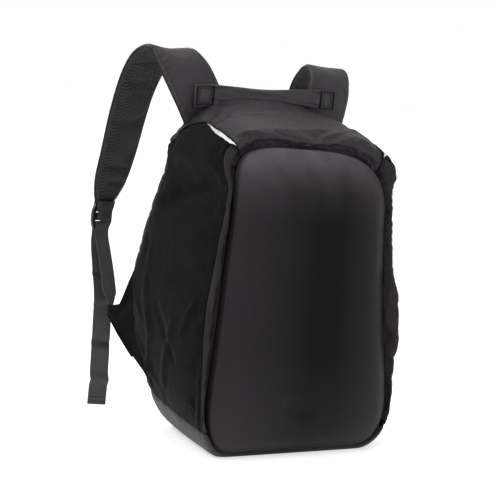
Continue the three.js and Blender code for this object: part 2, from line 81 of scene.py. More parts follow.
def camera_matrix():
    """Place and axes of the camera that took the photograph."""
    turn, dip, roll = VIEW_TURN, VIEW_DIP, VIEW_ROLL
    ahead = Vector((math.sin(turn) * math.cos(dip), math.cos(turn) * math.cos(dip), -math.sin(dip)))
    right = Vector((math.cos(turn), -math.sin(turn), 0))
    up = right.cross(ahead)
    ahead = (ahead - right * PICTURE_OFFSET / FOCAL_PIXELS).normalized()
    right = (right - ahead * right.dot(ahead)).normalized()
    rolled_right = right * math.cos(roll) + up * math.sin(roll)
    rolled_up = up * math.cos(roll) - right * math.sin(roll)
    place = Vector(
        (-VIEW_AWAY * math.sin(turn), -VIEW_AWAY * math.cos(turn) + VIEW_SHIFT_BACK, VIEW_HEIGHT)
    )
    axes = Matrix((rolled_right, rolled_up, -ahead)).transposed().to_4x4()
    return Matrix.Translation(place * MM) @ axes


camera_data = bpy.data.cameras.new("view")
camera_data.sensor_width = SENSOR_WIDTH
camera_data.lens = FOCAL_PIXELS * SENSOR_WIDTH / PICTURE_PIXELS
camera = bpy.data.objects.new("view", camera_data)
scene.collection.objects.link(camera)
camera.matrix_world = camera_matrix()
scene.camera = camera


def table(names, rows):
    """Columns of a table by name."""
    return dict(zip(names, np.array(rows, float).T))


# One row for each station of the body's outline, from the middle of the base up one side to the
# middle of the top, in shares of half the width, the height and half the depth. Bulge is a share
# of the depth and groove one of the channel's depth.
STATIONS = table(
    ["front_across", "front_up", "front_back", "rear_across", "rear_up", "rear_back", "bulge", "groove"],
    [
        [0.0, 0.016, -1.0, 0.0, 0.026, 0.64, 0.058, 0.27],
        [0.4, 0.016, -1.0, 0.38, 0.026, 0.64, 0.058, 0.27],
        [0.69, 0.02, -1.0, 0.58, 0.038, 0.65, 0.055, 0.32],
        [0.82, 0.055, -1.01, 0.7, 0.085, 0.69, 0.052, 0.6],
        [0.872, 0.125, -1.02, 0.79, 0.175, 0.75, 0.06, 1.0],
        [0.85, 0.25, -0.98, 0.865, 0.295, 0.83, 0.09, 1.0],
        [0.808, 0.386, -0.92, 0.88, 0.42, 0.89, 0.12, 1.0],
        [0.779, 0.523, -0.87, 0.86, 0.545, 0.87, 0.1, 1.0],
        [0.753, 0.648, -0.845, 0.82, 0.66, 0.82, 0.08, 1.0],
        [0.737, 0.739, -0.82, 0.765, 0.76, 0.76, 0.075, 1.0],
        [0.692, 0.802, -0.72, 0.66, 0.85, 0.71, 0.15, 1.0],
        [0.564, 0.845, -0.6, 0.5, 0.914, 0.68, 0.11, 0.9],
        [0.32, 0.864, -0.57, 0.27, 0.947, 0.67, 0.06, 0.8],
        [0.0, 0.866, -0.56, 0.0, 0.955, 0.67, 0.05, 0.8],
    ],
)
TOP_STATION = len(STATIONS["bulge"]) - 1
RING = 2 * TOP_STATION

# One row for each line of the side cloth from the channel's floor to the back panel.
CLOTH_LINES = table(
    ["back", "out", "groove"],
    [
        [0.0, 0.0, 1.0],
        [0.0, 0.16, 1.0],
        [0.0, 0.26, 0.25],
        [0.0, 0.5, -0.12],
        [0.012, 0.86, 0.0],
        [0.07, 1.02, 0.0],
        [0.26, 1.08, 0.0],
        [0.5, 1.1, 0.0],
        [0.75, 1.02, 0.0],
        [0.92, 0.84, 0.0],
        [1.0, 0.5, 0.0],
        [1.0, 0.0, 0.0],
    ],
)
BORDER_LINE, REAR_LINE, LAST_LINE = 4.45, 9.25, 11
BASE_SEAM = 3.4
TOP_SEAM = table(["line", "station"], [[0, 10.0], [4.45, 10.55], [7, 10.6], [9.25, 9.7], [11, 9.6]])

# One row for each place along a shoulder strap, from its seat on the top to its lower end.
STRAP_PATH = table(
    ["out", "back", "up", "slant", "turn", "width", "wall"],
    [
        [-0.2, 0.0, -0.3, 35, 5, 1.0, 0.45],
        [0.0, 0.0, 0.0, 33, 5, 1.0, 0.5],
        [0.2, -0.01, 0.33, 28, 4, 1.0, 0.7],
        [0.4, 0.04, 0.68, 16, 2, 1.0, 0.9],
        [0.53, 0.16, 0.92, 6, 0, 1.0, 1.0],
        [0.62, 0.31, 1.0, 0, 0, 1.0, 1.0],
        [0.72, 0.47, 0.9, 0, 7, 1.0, 1.0],
        [0.79, 0.6, 0.65, 0, 13, 1.0, 1.0],
        [0.85, 0.69, 0.27, 0, 17, 1.0, 1.0],
        [0.88, 0.79, -0.22, 0, 19, 1.0, 1.0],
        [0.91, 0.89, -0.85, 0, 20, 0.96, 1.0],
        [0.96, 0.96, -1.34, 0, 20, 0.86, 0.95],
        [1.0, 1.0, -1.66, 0, 20, 0.6, 0.8],
    ],
)


# Surfaces, all in millimetres. Places come and go as arrays.


def through(a, b, c, d, f):
    """Smooth curve through b and c at share f, with a and d as the neighbours."""
    return b + 0.5 * f * (c - a + f * (2 * a - 5 * b + 4 * c - d + f * (3 * (b - c) + d - a)))


def along(column, place):
    """Column of an open table at places between its rows."""
    place = np.asarray(place, float)
    i = np.floor(place).astype(int)
    pick = [column[np.clip(i + k, 0, len(column) - 1)] for k in (-1, 0, 1, 2)]
    return through(*pick, place - i)


def around(name, s, mirrored=False):
    """Column of the stations at places s round the body, from the base up the -X side."""
    s = np.asarray(s, float)
    i = np.floor(s).astype(int)
    pick = []
    for k in (-1, 0, 1, 2):
        at = (i + k) % RING
        first = at <= TOP_STATION
        value = STATIONS[name][np.where(first, at, RING - at)]
        pick.append(np.where(first, -value, value) if mirrored else value)
    return through(*pick, s - i)


def edge_point(edge, s):
    return np.stack(
        [
            around(edge + "_across", s, True) * BAG_WIDTH / 2,
            around(edge + "_back", s) * BAG_DEPTH / 2,
            around(edge + "_up", s) * BAG_HEIGHT,
        ],
        -1,
    )


def unit(v):
    return v / np.maximum(np.linalg.norm(v, axis=-1, keepdims=True), 1e-9)


def outward(s):
    """Direction in which the side cloth swells at s, square to the outline."""
    step = 0.25
    way = edge_point("front", s + step) + edge_point("rear", s + step)
    way = way - edge_point("front", s - step) - edge_point("rear", s - step)
    return unit(np.stack([-way[..., 2], 0 * way[..., 0], way[..., 0]], -1))


def cloth_point(s, v):
    """Outer face of the side cloth at stations s and lines v."""
    s, v = np.broadcast_arrays(np.asarray(s, float), np.asarray(v, float))
    front, rear = edge_point("front", s), edge_point("rear", s)
    point = front + (rear - front) * along(CLOTH_LINES["back"], v)[..., None]
    swell = along(CLOTH_LINES["out"], v) * around("bulge", s) * BAG_DEPTH
    point = point + outward(s) * swell[..., None]
    point[..., 1] += along(CLOTH_LINES["groove"], v) * CHANNEL_DEPTH * around("groove", s)
    point[..., 2] = np.maximum(point[..., 2], 0)
    return point


def facing(surface, s, v, step=0.02):
    """Direction that a surface faces."""
    across = surface(s + step, v) - surface(s - step, v)
    down = surface(s, v + step) - surface(s, v - step)
    return unit(np.cross(across, down))


def top_seam(v):
    """Station of the seam between side and top at line v."""
    v = np.asarray(v, float)
    after = np.clip(np.searchsorted(TOP_SEAM["line"], v - 1e-9), 1, len(TOP_SEAM["line"]) - 1)
    low, high = TOP_SEAM["line"][after - 1], TOP_SEAM["line"][after]
    share = (v - low) / (high - low)
    share = share * share * (3 - 2 * share)
    first, second = TOP_SEAM["station"][after - 1], TOP_SEAM["station"][after]
    return first + (second - first) * share


def edge_back(edge, z):
    """Depth of a panel's edge where it is at heights z."""
    low, high = np.zeros_like(z), np.full_like(z, TOP_STATION)
    for _ in range(24):
        middle = (low + high) / 2
        under = around(edge + "_up", middle) * BAG_HEIGHT < z
        low, high = np.where(under, middle, low), np.where(under, high, middle)
    return around(edge + "_back", low) * BAG_DEPTH / 2


# Making pieces


def finish_piece(name, bm, material, replaces=()):
    """A mesh piece at the origin, riding on the bag, with its material and slot."""
    mesh = bpy.data.meshes.new(name)
    bm.to_mesh(mesh)
    bm.free()
    mesh.polygons.foreach_set("use_smooth", [True] * len(mesh.polygons))
    piece = bpy.data.objects.new(name, mesh)
    scene.collection.objects.link(piece)
    mesh.materials.append(material)
    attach(piece, "root")
    if replaces:
        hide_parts(*replaces)
    return piece


def thicken(piece, wall):
    """Gives a cloth sheet its wall on the inner side, and softens it."""
    solid = piece.modifiers.new("wall", "SOLIDIFY")
    solid.thickness = wall * MM
    solid.offset = -1
    soften(piece)


def soften(piece):
    soft = piece.modifiers.new("soften", "SUBSURF")
    soft.levels = soft.render_levels = 1


def lengths_along(points, axis):
    """Distance covered along one axis of a grid of points."""
    steps = np.linalg.norm(np.diff(points, axis=axis), axis=-1)
    start = np.zeros_like(np.take(steps, [0], axis=axis))
    return np.cumsum(np.concatenate([start, steps], axis=axis), axis=axis)


def grid_mesh(points, flip=False):
    """A grid of vertices moved to the given points, with its UVs in metres of cloth."""
    nu, nv = points.shape[0] - 1, points.shape[1] - 1
    bm = bmesh.new()
    uv_layer = bm.loops.layers.uv.new("cloth")
    bmesh.ops.create_grid(bm, x_segments=nu, y_segments=nv, size=0.5)
    u_long, v_long = lengths_along(points, 0) * MM, lengths_along(points, 1) * MM
    order = np.empty((len(bm.verts), 2), int)
    for index, vert in enumerate(bm.verts):
        vert.index = index
        i, j = round((vert.co.x + 0.5) * nu), round((vert.co.y + 0.5) * nv)
        order[index] = i, j
        vert.co = Vector(points[i, j]) * MM
    for face in bm.faces:
        for loop in face.loops:
            i, j = order[loop.vert.index]
            loop[uv_layer].uv = (u_long[i, j], v_long[i, j])
    if flip:
        bmesh.ops.reverse_faces(bm, faces=bm.faces)
    return bm, order


def edge_distance(points):
    """Distance of each grid point from the grid's four edges: start and end of each axis."""
    u_long, v_long = lengths_along(points, 0), lengths_along(points, 1)
    return u_long, u_long[-1:] - u_long, v_long, v_long[:, -1:] - v_long


def near(distance, width):
    return np.exp(-((distance / width) ** 2))


def waves(points, seed, size, count=7):
    """Soft unevenness between about -1 and 1, from crossing waves of roughly the given size."""
    draw = np.random.default_rng(seed)
    total = np.zeros(points.shape[:-1])
    for _ in range(count):
        way = unit(draw.normal(size=3)) / (size * draw.uniform(0.6, 1.8))
        total += np.sin(points @ way * 2 * math.pi + draw.uniform(0, 2 * math.pi))
    return total / math.sqrt(count)


# Every listed fold is this many times as high as listed.
FOLD_DEPTH = 1.5


def fold_height(points, folds, surface):
    """Height of the listed folds at grid points. Each runs from (s, v) to (s, v)."""
    total = np.zeros(points.shape[:-1])
    for s0, v0, s1, v1, width, height in folds:
        start, end = surface(s0, v0), surface(s1, v1)
        way = end - start
        share = np.clip(((points - start) @ way) / max(way @ way, 1e-9), 0, 1)
        off = np.linalg.norm(points - start - share[..., None] * way, axis=-1)
        taper = 0.35 + 0.65 * np.sin(math.pi * np.clip(share, 0.02, 0.98)) ** 0.5
        total += FOLD_DEPTH * height * taper * near(off, width)
    return total


# Materials


def shader(name, colour, roughness):
    material = bpy.data.materials.new(name)
    material.use_nodes = True
    tree = material.node_tree
    bsdf = next(n for n in tree.nodes if n.type == "BSDF_PRINCIPLED")
    bsdf.inputs["Base Color"].default_value = (*colour, 1)
    bsdf.inputs["Roughness"].default_value = roughness
    return material, tree, bsdf


def value(tree, kind, a, b=0.0):
    """Math node of two sockets or numbers."""
    node = tree.nodes.new("ShaderNodeMath")
    node.operation = kind
    for socket, given in zip(node.inputs, (a, b)):
        if isinstance(given, (int, float)):
            socket.default_value = given
        else:
            tree.links.new(given, socket)
    return node.outputs[0]


def on_cloth(tree):
    """Place on the cloth in metres, along and across."""
    node = tree.nodes.new("ShaderNodeUVMap")
    node.uv_map = "cloth"
    return node.outputs[0]


def in_space(tree):
    return tree.nodes.new("ShaderNodeTexCoord").outputs["Object"]


def split(tree, place):
    node = tree.nodes.new("ShaderNodeSeparateXYZ")
    tree.links.new(place, node.inputs[0])
    return node.outputs[0], node.outputs[1], node.outputs[2]


def weighed(tree, *parts):
    """Sum of sockets, each multiplied by its weight."""
    total = None
    for socket, weight in parts:
        part = value(tree, "MULTIPLY", socket, weight)
        total = part if total is None else value(tree, "ADD", total, part)
    return total


def blend(tree, share, low, high):
    """Colour between two, by a share."""
    node = tree.nodes.new("ShaderNodeMix")
    node.data_type = "RGBA"
    node.inputs[6].default_value = (*low, 1)
    node.inputs[7].default_value = (*high, 1)
    tree.links.new(share, node.inputs[0])
    return node.outputs[2]


def span(tree, socket, low, high, to_low=0.0, to_high=1.0):
    node = tree.nodes.new("ShaderNodeMapRange")
    for index, given in enumerate((low, high, to_low, to_high), 1):
        node.inputs[index].default_value = given
    tree.links.new(socket, node.inputs[0])
    return node.outputs[0]


def new_group(name, inputs, outputs):
    """Empty node group with named inputs and outputs, and the sockets inside that they lead to."""
    group = bpy.data.node_groups.new(name, "ShaderNodeTree")
    for way, sockets in (("INPUT", inputs), ("OUTPUT", outputs)):
        for label, kind in sockets.items():
            group.interface.new_socket(label, in_out=way, socket_type="NodeSocket" + kind)
    return group, group.nodes.new("NodeGroupInput").outputs, group.nodes.new("NodeGroupOutput").inputs


def placed(tree, group, given):
    """A group put into a tree, its inputs linked or given a value."""
    node = tree.nodes.new("ShaderNodeGroup")
    node.node_tree = group
    for label, item in given.items():
        if isinstance(item, bpy.types.NodeSocket):
            tree.links.new(item, node.inputs[label])
        else:
            node.inputs[label].default_value = item
    return node.outputs


def grain_group():
    """Uneven grain of a given scale."""
    inputs = {"Place": "Vector", "Scale": "Float", "Detail": "Float"}
    group, given, made = new_group("grain", inputs, {"Mask": "Float"})
    node = group.nodes.new("ShaderNodeTexNoise")
    for label, socket in (("Place", "Vector"), ("Scale", "Scale"), ("Detail", "Detail")):
        group.links.new(given[label], node.inputs[socket])
    group.links.new(node.outputs[0], made["Mask"])
    return group


def ribs_group():
    """Even ribs between 0 and 1 across one coordinate."""
    inputs = {"Coordinate": "Float", "Pitch": "Float", "Shift": "Float"}
    group, given, made = new_group("ribs", inputs, {"Height": "Float"})
    turns = value(group, "MULTIPLY", value(group, "DIVIDE", given["Coordinate"], given["Pitch"]), 2 * math.pi)
    wave = value(group, "SINE", value(group, "ADD", turns, given["Shift"]))
    height = value(group, "ADD", value(group, "MULTIPLY", wave, 0.5), 0.5)
    group.links.new(height, made["Height"])
    return group


def weave_group():
    """Height of a plain weave: threads that pass over and under each other."""
    group, given, made = new_group("weave", {"Place": "Vector", "Pitch": "Float"}, {"Height": "Float"})
    u, v, _ = split(group, given["Place"])
    over, under = (
        placed(group, RIBS, {"Coordinate": coordinate, "Pitch": given["Pitch"]})[0] for coordinate in (u, v)
    )
    both = value(group, "MULTIPLY", over, under)
    gaps = [value(group, "SUBTRACT", 1.0, height) for height in (over, under)]
    neither = value(group, "MULTIPLY", *gaps)
    group.links.new(value(group, "ADD", both, neither), made["Height"])
    return group


def relief_group():
    """Normal of a surface raised by a height."""
    inputs = {"Height": "Float", "Distance": "Float"}
    group, given, made = new_group("relief", inputs, {"Normal": "Vector"})
    node = group.nodes.new("ShaderNodeBump")
    for label in inputs:
        group.links.new(given[label], node.inputs[label])
    group.links.new(node.outputs[0], made["Normal"])
    return group


def woven_group():
    """Woven cloth with uneven dye, threads, a little fuzz and small creases."""
    inputs = {
        "Object place": "Vector",
        "Cloth place": "Vector",
        "Low": "Color",
        "High": "Color",
        "Roughness": "Float",
        "Pitch": "Float",
        "Thread": "Float",
        "Crease": "Float",
    }
    outputs = {"Colour": "Color", "Roughness": "Float", "Normal": "Vector"}
    group, given, made = new_group("woven cloth", inputs, outputs)
    place = given["Object place"]
    uneven = grain(group, place, 26, 4)
    fuzz = grain(group, place, 620, 2)
    pulls = grain(group, place, 22, 3)
    threads = placed(group, WEAVE, {"Place": given["Cloth place"], "Pitch": given["Pitch"]})[0]
    share = weighed(group, (uneven, 0.5), (threads, 0.15), (fuzz, 0.5))
    colour = group.nodes.new("ShaderNodeMix")
    colour.data_type = "RGBA"
    group.links.new(span(group, share, 0.42, 0.74), colour.inputs[0])
    group.links.new(given["Low"], colour.inputs[6])
    group.links.new(given["High"], colour.inputs[7])
    group.links.new(colour.outputs[2], made["Colour"])
    rough = value(group, "ADD", given["Roughness"], span(group, uneven, 0.3, 0.7, -0.07, 0.07))
    group.links.new(rough, made["Roughness"])
    # Heights are in metres: the threads with their fuzz, and the creases where the pulls change sign.
    height = weighed(group, (threads, 1.0), (fuzz, 0.6))
    pulled = value(group, "ABSOLUTE", value(group, "SUBTRACT", pulls, 0.5))
    creased = value(group, "POWER", value(group, "SUBTRACT", 1.0, pulled), 9.0)
    height = weighed(group, (height, given["Thread"]), (creased, given["Crease"]))
    group.links.new(placed(group, RELIEF, {"Height": height, "Distance": 1.0})[0], made["Normal"])
    return group


def grain(tree, place, scale, detail=2.0):
    return placed(tree, GRAIN, {"Place": place, "Scale": scale, "Detail": detail})[0]


def ribs(tree, coordinate, pitch, shift=0.0):
    return placed(tree, RIBS, {"Coordinate": coordinate, "Pitch": pitch * MM, "Shift": shift})[0]


def raise_by(tree, bsdf, height, distance):
    normal = placed(tree, RELIEF, {"Height": height, "Distance": distance * MM})[0]
    tree.links.new(normal, bsdf.inputs["Normal"])


GRAIN, RIBS, RELIEF = grain_group(), ribs_group(), relief_group()
WEAVE = weave_group()
WOVEN = woven_group()


def plain(name, colour, roughness):
    return shader(name, colour, roughness)[0]


def woven(name, low, high, roughness, pitch, relief, specular, crease, sheen):
    """Cloth with its own colours, and its thread pitch, relief and creases in millimetres."""
    material, tree, bsdf = shader(name, low, roughness)
    given = {
        "Object place": in_space(tree),
        "Cloth place": on_cloth(tree),
        "Low": (*low, 1),
        "High": (*high, 1),
        "Roughness": roughness,
        "Pitch": pitch * MM,
        "Thread": relief * MM,
        "Crease": crease * MM,
    }
    made = placed(tree, WOVEN, given)
    for label, socket in (("Colour", "Base Color"), ("Roughness", "Roughness"), ("Normal", "Normal")):
        tree.links.new(made[label], bsdf.inputs[socket])
    bsdf.inputs["Specular IOR Level"].default_value = specular
    bsdf.inputs["Sheen Weight"].default_value = sheen
    bsdf.inputs["Sheen Roughness"].default_value = 0.35
    return material


def satin(name):
    """Smooth coated cloth with a fine grid, with painted light in its colour: a painted highlight along its
    top, broken into streaks, and painted lighter sides and foot, which leave its middle darker. Its roughness
    is streaked too.
    """
    material, tree, bsdf = shader(name, (0.01, 0.009, 0.0105), 0.4)
    space = in_space(tree)
    across, _, up = split(tree, space)
    stretched = tree.nodes.new("ShaderNodeMapping")
    stretched.inputs["Scale"].default_value = (1, 1, 0.12)
    tree.links.new(space, stretched.inputs["Vector"])
    streaks = grain(tree, stretched.outputs[0], 34, 3)
    # Painted light: aside is a painted lighter band towards each side, top a painted highlight where the
    # panel turns back at its top, broken by the streaks, and foot a painted lighter band at the bottom.
    aside = span(tree, value(tree, "ABSOLUTE", value(tree, "SUBTRACT", across, 0.02)), 0.02, 0.13, 0.0, 0.14)
    top = span(tree, up, 0.28, 0.388)
    top = value(tree, "MULTIPLY", value(tree, "POWER", top, 2.3), span(tree, streaks, 0.3, 0.7, 0.6, 1.0))
    foot = span(tree, up, 0.12, 0.02, 0.0, 0.045)
    high = value(tree, "ADD", value(tree, "ADD", top, aside), foot)
    colour = blend(tree, high, (0.0016, 0.0012, 0.0016), (0.13, 0.116, 0.128))
    tree.links.new(colour, bsdf.inputs["Base Color"])
    u, v, _ = split(tree, on_cloth(tree))
    threads = value(tree, "ADD", ribs(tree, u, 0.9), ribs(tree, v, 0.9))
    tree.links.new(span(tree, streaks, 0.3, 0.7, 0.36, 0.46), bsdf.inputs["Roughness"])
    raise_by(tree, bsdf, value(tree, "ADD", threads, streaks), 0.02)
    bsdf.inputs["Specular IOR Level"].default_value = 0.1
    return material


MESH_PITCH = (4.4, 4.2)


def spacer_mesh(name):
    """Air mesh: rows of small raised dots, each row half a step on from the last."""
    material, tree, bsdf = shader(name, (0.012, 0.0115, 0.013), 0.85)
    u, v, _ = split(tree, on_cloth(tree))
    rows = [
        value(tree, "MULTIPLY", ribs(tree, u, MESH_PITCH[0], shift), ribs(tree, v, MESH_PITCH[1], shift))
        for shift in (0.0, math.pi)
    ]
    dots = span(tree, value(tree, "MAXIMUM", *rows), 0.4, 0.62)
    fuzz = grain(tree, in_space(tree), 1200, 2)
    share = weighed(tree, (dots, 0.8), (fuzz, 0.25))
    colour = blend(tree, share, (0.004, 0.0038, 0.0043), (0.046, 0.044, 0.047))
    tree.links.new(colour, bsdf.inputs["Base Color"])
    raise_by(tree, bsdf, share, 0.7)
    return material


def ribbed(name):
    """Narrow webbing: fine ribs across its length, and fuzz."""
    material, tree, bsdf = shader(name, (0.03, 0.028, 0.031), 0.6)
    u, v, _ = split(tree, on_cloth(tree))
    rows = ribs(tree, u, 1.3)
    cords = ribs(tree, v, 2.6)
    fuzz = grain(tree, in_space(tree), 700, 2)
    share = weighed(tree, (rows, 0.5), (fuzz, 0.5))
    colour = blend(tree, share, (0.02, 0.0185, 0.0205), (0.062, 0.058, 0.062))
    tree.links.new(colour, bsdf.inputs["Base Color"])
    raise_by(tree, bsdf, weighed(tree, (rows, 1.0), (cords, 0.7)), 0.25)
    return material


def reflective(name):
    """Silver tape with a fine cell pattern and small creases."""
    material, tree, bsdf = shader(name, (0.72, 0.71, 0.72), 0.32)
    cells = placed(tree, WEAVE, {"Place": on_cloth(tree), "Pitch": 1.6 * MM})[0]
    creases = grain(tree, in_space(tree), 160, 3)
    share = weighed(tree, (cells, 0.3), (creases, 0.7))
    tree.links.new(blend(tree, share, (0.5, 0.49, 0.5), (0.92, 0.91, 0.92)), bsdf.inputs["Base Color"])
    raise_by(tree, bsdf, share, 0.4)
    bsdf.inputs["Metallic"].default_value = 0.35
    return material


def moulded(name):
    """Dark plastic with a fine spark-eroded grain, lighter where it is rubbed."""
    material, tree, bsdf = shader(name, (0.012, 0.0115, 0.0125), 0.38)
    sparks = grain(tree, in_space(tree), 1500, 3)
    rubbed = grain(tree, in_space(tree), 90, 2)
    tree.links.new(
        blend(tree, span(tree, rubbed, 0.45, 0.75), (0.011, 0.0105, 0.0115), (0.022, 0.021, 0.022)),
        bsdf.inputs["Base Color"],
    )
    tree.links.new(span(tree, sparks, 0.3, 0.7, 0.3, 0.46), bsdf.inputs["Roughness"])
    raise_by(tree, bsdf, sparks, 0.05)
    return material


# Cloths: dark and light tone, roughness, thread pitch and relief, gloss, creases and sheen
CLOTHS = {
    "nylon_cloth": ((0.017, 0.0145, 0.0168), (0.034, 0.0293, 0.0336), 0.55, 0.9, 0.06, 0.28, 1.4, 0.0),
    "border_cloth": ((0.014, 0.012, 0.0139), (0.033, 0.0285, 0.0326), 0.75, 0.9, 0.06, 0.14, 1.4, 0.0),
    "felt_cloth": ((0.001, 0.0008, 0.0011), (0.0088, 0.0077, 0.009), 0.92, 1.4, 0.16, 0.1, 0.7, 0.03),
    # The strap cloth is the body's nylon painted lighter: painted light for the overhead light that the
    # straps catch.
    "strap_cloth_painted_lighter": ((0.023, 0.0195, 0.0228), (0.042, 0.0362, 0.0415), 0.55, 0.9, 0.06, 0.35, 0.35, 0.0),
    # The handle cloth is the same nylon painted lighter still: painted light for the light on the handle's
    # upturned face.
    "handle_cloth_painted_lighter": ((0.03, 0.0255, 0.0298), (0.056, 0.0485, 0.0555), 0.55, 0.9, 0.06, 0.35, 1.2, 0.0),
}
nylon_cloth, border_cloth, felt_cloth, strap_cloth_painted_lighter, handle_cloth_painted_lighter = (
    woven(name, *look) for name, look in CLOTHS.items()
)
satin_sheet = satin("satin_sheet")
air_mesh = spacer_mesh("air_mesh")
ribbed_webbing = ribbed("ribbed_webbing")
silver_tape = reflective("silver_tape")
moulded_plastic = moulded("moulded_plastic")
thread = plain("thread", (0.009, 0.008, 0.009), 0.5)


# Cloth panels of the body


def line_steps(start, end, count):
    return np.linspace(start, end, count + 1)


BORDER_V = line_steps(0, BORDER_LINE, 26)
SIDE_V = line_steps(BORDER_LINE, REAR_LINE, 46)
REAR_V = line_steps(REAR_LINE, LAST_LINE, 12)
ACROSS_V = np.concatenate([BORDER_V, SIDE_V[1:], REAR_V[1:]])


def between(start, end, count, lines):
    """Stations from start to end for each line, as a grid."""
    share = np.linspace(0, 1, count + 1)[:, None]
    return start(lines) + (end(lines) - start(lines)) * share


def flat_at(station):
    return lambda v: np.full(len(v), float(station))


PANELS = {
    "top_panel": (top_seam, lambda v: RING - top_seam(v), 72, ACROSS_V),
    "base_panel": (flat_at(-BASE_SEAM), flat_at(BASE_SEAM), 56, ACROSS_V),
}
for side_name, start, end in (
    ("left", flat_at(BASE_SEAM), top_seam),
    ("right", lambda v: RING - top_seam(v), flat_at(RING - BASE_SEAM)),
):
    PANELS["border_" + side_name] = (start, end, 96, BORDER_V)
    PANELS["side_panel_" + side_name] = (start, end, 80, SIDE_V)
    PANELS["rear_band_" + side_name] = (start, end, 72, REAR_V)

# Folds of the cloth, from station and line to station and line, with width and height in
# millimetres. The first rows are on the top, then the sides with their borders.
FOLDS = [
    (11.05, 8.2, 12.5, 8.7, 3, 1.6),
    (11.2, 7.6, 12.8, 8.1, 3, 1.4),
    (11.3, 6.8, 13.4, 7.4, 6, 1.8),
    (12.0, 5.2, 14.4, 6.0, 7, 1.8),
    (13.5, 4.8, 15.2, 6.4, 5, 1.4),
    (10.7, 8.7, 11.6, 9.0, 3, 1.6),
    (15.0, 8.0, 16.2, 5.5, 26, 4.0),
    (11.4, 9.5, 14.6, 9.5, 26, 10),
    (14.8, 6.2, 15.9, 5.2, 4, 1.8),
    (10.75, 4.3, 10.2, 1.0, 4, 2.6),
    (10.3, 4.3, 9.85, 1.0, 3, -2.6),
    (11.3, 4.2, 11.1, 1.6, 3, 1.4),
    (15.25, 4.3, 15.8, 1.0, 4, 2.6),
    (15.7, 4.3, 16.15, 1.0, 3, -2.6),
    (14.6, 4.2, 14.9, 1.6, 3, 1.4),
    (16.3, 4.2, 16.35, 1.6, 3, 1.6),
    (16.5, 4.2, 16.45, 1.8, 3, -2.0),
    (9.8, 4.1, 8.45, 4.2, 2, 1.2),
    (8.4, 1.8, 8.3, 4.6, 3, -2.4),
    (8.1, 2.0, 7.5, 4.2, 5, 1.4),
    (7.4, 1.8, 7.3, 4.8, 3, -2.4),
    (7.1, 2.4, 6.2, 4.0, 5, 1.2),
    (7.1, 4.9, 6.85, 6.0, 4, 2.8),
    (7.6, 4.7, 7.4, 5.5, 3, -1.6),
    (8.2, 7.8, 9.1, 5.2, 13, -5.0),
    (9.6, 8.4, 9.6, 5.4, 12, 3.5),
    (6.9, 8.0, 5.3, 7.5, 6, 4.5),
    (5.2, 7.5, 3.8, 8.2, 5, 3.6),
    (6.3, 9.1, 5.4, 7.9, 4, 3.6),
    (5.7, 6.3, 4.2, 7.1, 5, 3.6),
    (6.3, 5.3, 5.5, 5.9, 4, 2.6),
    (5.1, 8.9, 4.1, 7.6, 5, 3.2),
    (6.0, 7.2, 4.9, 6.3, 4, -2.4),
    (7.3, 8.6, 6.2, 7.6, 5, -2.4),
    (10.2, 8.9, 9.7, 8.2, 5, -3.4),
    (9.9, 9.1, 9.3, 8.9, 4, 2.2),
    (19.5, 4.6, 20.6, 4.3, 9, 4.0),
    (18.9, 2.6, 19.6, 4.2, 4, 2.2),
    (19.8, 2.2, 20.7, 3.8, 4, 2.2),
    (17.4, 2.0, 17.7, 4.6, 3, -2.0),
    (19.3, 8.0, 20.7, 7.5, 6, 3.0),
    (20.4, 6.3, 21.6, 7.0, 5, 2.2),
    (21.0, 8.8, 21.9, 7.6, 5, 2.0),
    (17.8, 7.6, 17.0, 5.3, 14, -3.0),
]

# How far seams dip and over what reach, how much cloth puckers beside them, how far the border's
# roll stands out and back round its own line, and how far the base is tucked back
SEAM_DIP, SEAM_REACH, PUCKER = 1.3, 2.2, 0.9
ROLL_OUT, ROLL_BACK, BASE_TUCK = 3.2, 4.5, 5
ROLL_LINE, ROLL_REACH = 2.1, 1.9

SETTLING = []


def settle_later(piece, held, spare, pressure, cap, wall):
    """Notes a cloth sheet for the settling: held is each vertex's hold, cap a limit in mm."""
    SETTLING.append((piece, held, spare, pressure, cap, wall))


def add_cloth(piece, held, spare, pressure):
    group = piece.vertex_groups.new(name="held")
    for index, hold in enumerate(held):
        if hold > 0.01:
            group.add([index], float(hold), "REPLACE")
    cloth = piece.modifiers.new("cloth", "CLOTH")
    settings = cloth.settings
    settings.quality = 6
    settings.mass = 0.1
    settings.tension_stiffness = settings.compression_stiffness = 12
    settings.shear_stiffness = 4
    settings.bending_stiffness = 0.05
    settings.air_damping = 4
    settings.vertex_group_mass = "held"
    settings.shrink_min = settings.shrink_max = -spare
    settings.use_pressure = pressure > 0
    settings.uniform_pressure_force = pressure
    settings.effector_weights.gravity = 0
    cloth.collision_settings.use_collision = False
    cloth.collision_settings.use_self_collision = False


def coordinates(mesh):
    values = np.empty(3 * len(mesh.vertices))
    mesh.vertices.foreach_get("co", values)
    return values.reshape(-1, 3)


def settle(frames=20):
    """Runs the cloth on every noted sheet, caps how far it moved and keeps the new shape."""
    for piece, held, spare, pressure, _, _ in SETTLING:
        add_cloth(piece, held, spare, pressure)
    for number in range(1, frames + 1):
        scene.frame_set(number)
    graph = bpy.context.evaluated_depsgraph_get()
    shapes = [coordinates(entry[0].evaluated_get(graph).data) for entry in SETTLING]
    for (piece, _, _, _, cap, _), shape in zip(SETTLING, shapes):
        start = coordinates(piece.data)
        moved = shape - start
        far = np.maximum(np.linalg.norm(moved, axis=-1, keepdims=True), 1e-9)
        limit = cap * MM
        end = start + moved / far * limit * np.tanh(far / limit)
        piece.modifiers.remove(piece.modifiers["cloth"])
        piece.vertex_groups.clear()
        piece.data.vertices.foreach_set("co", end.ravel())
        piece.data.update()
    scene.frame_set(1)


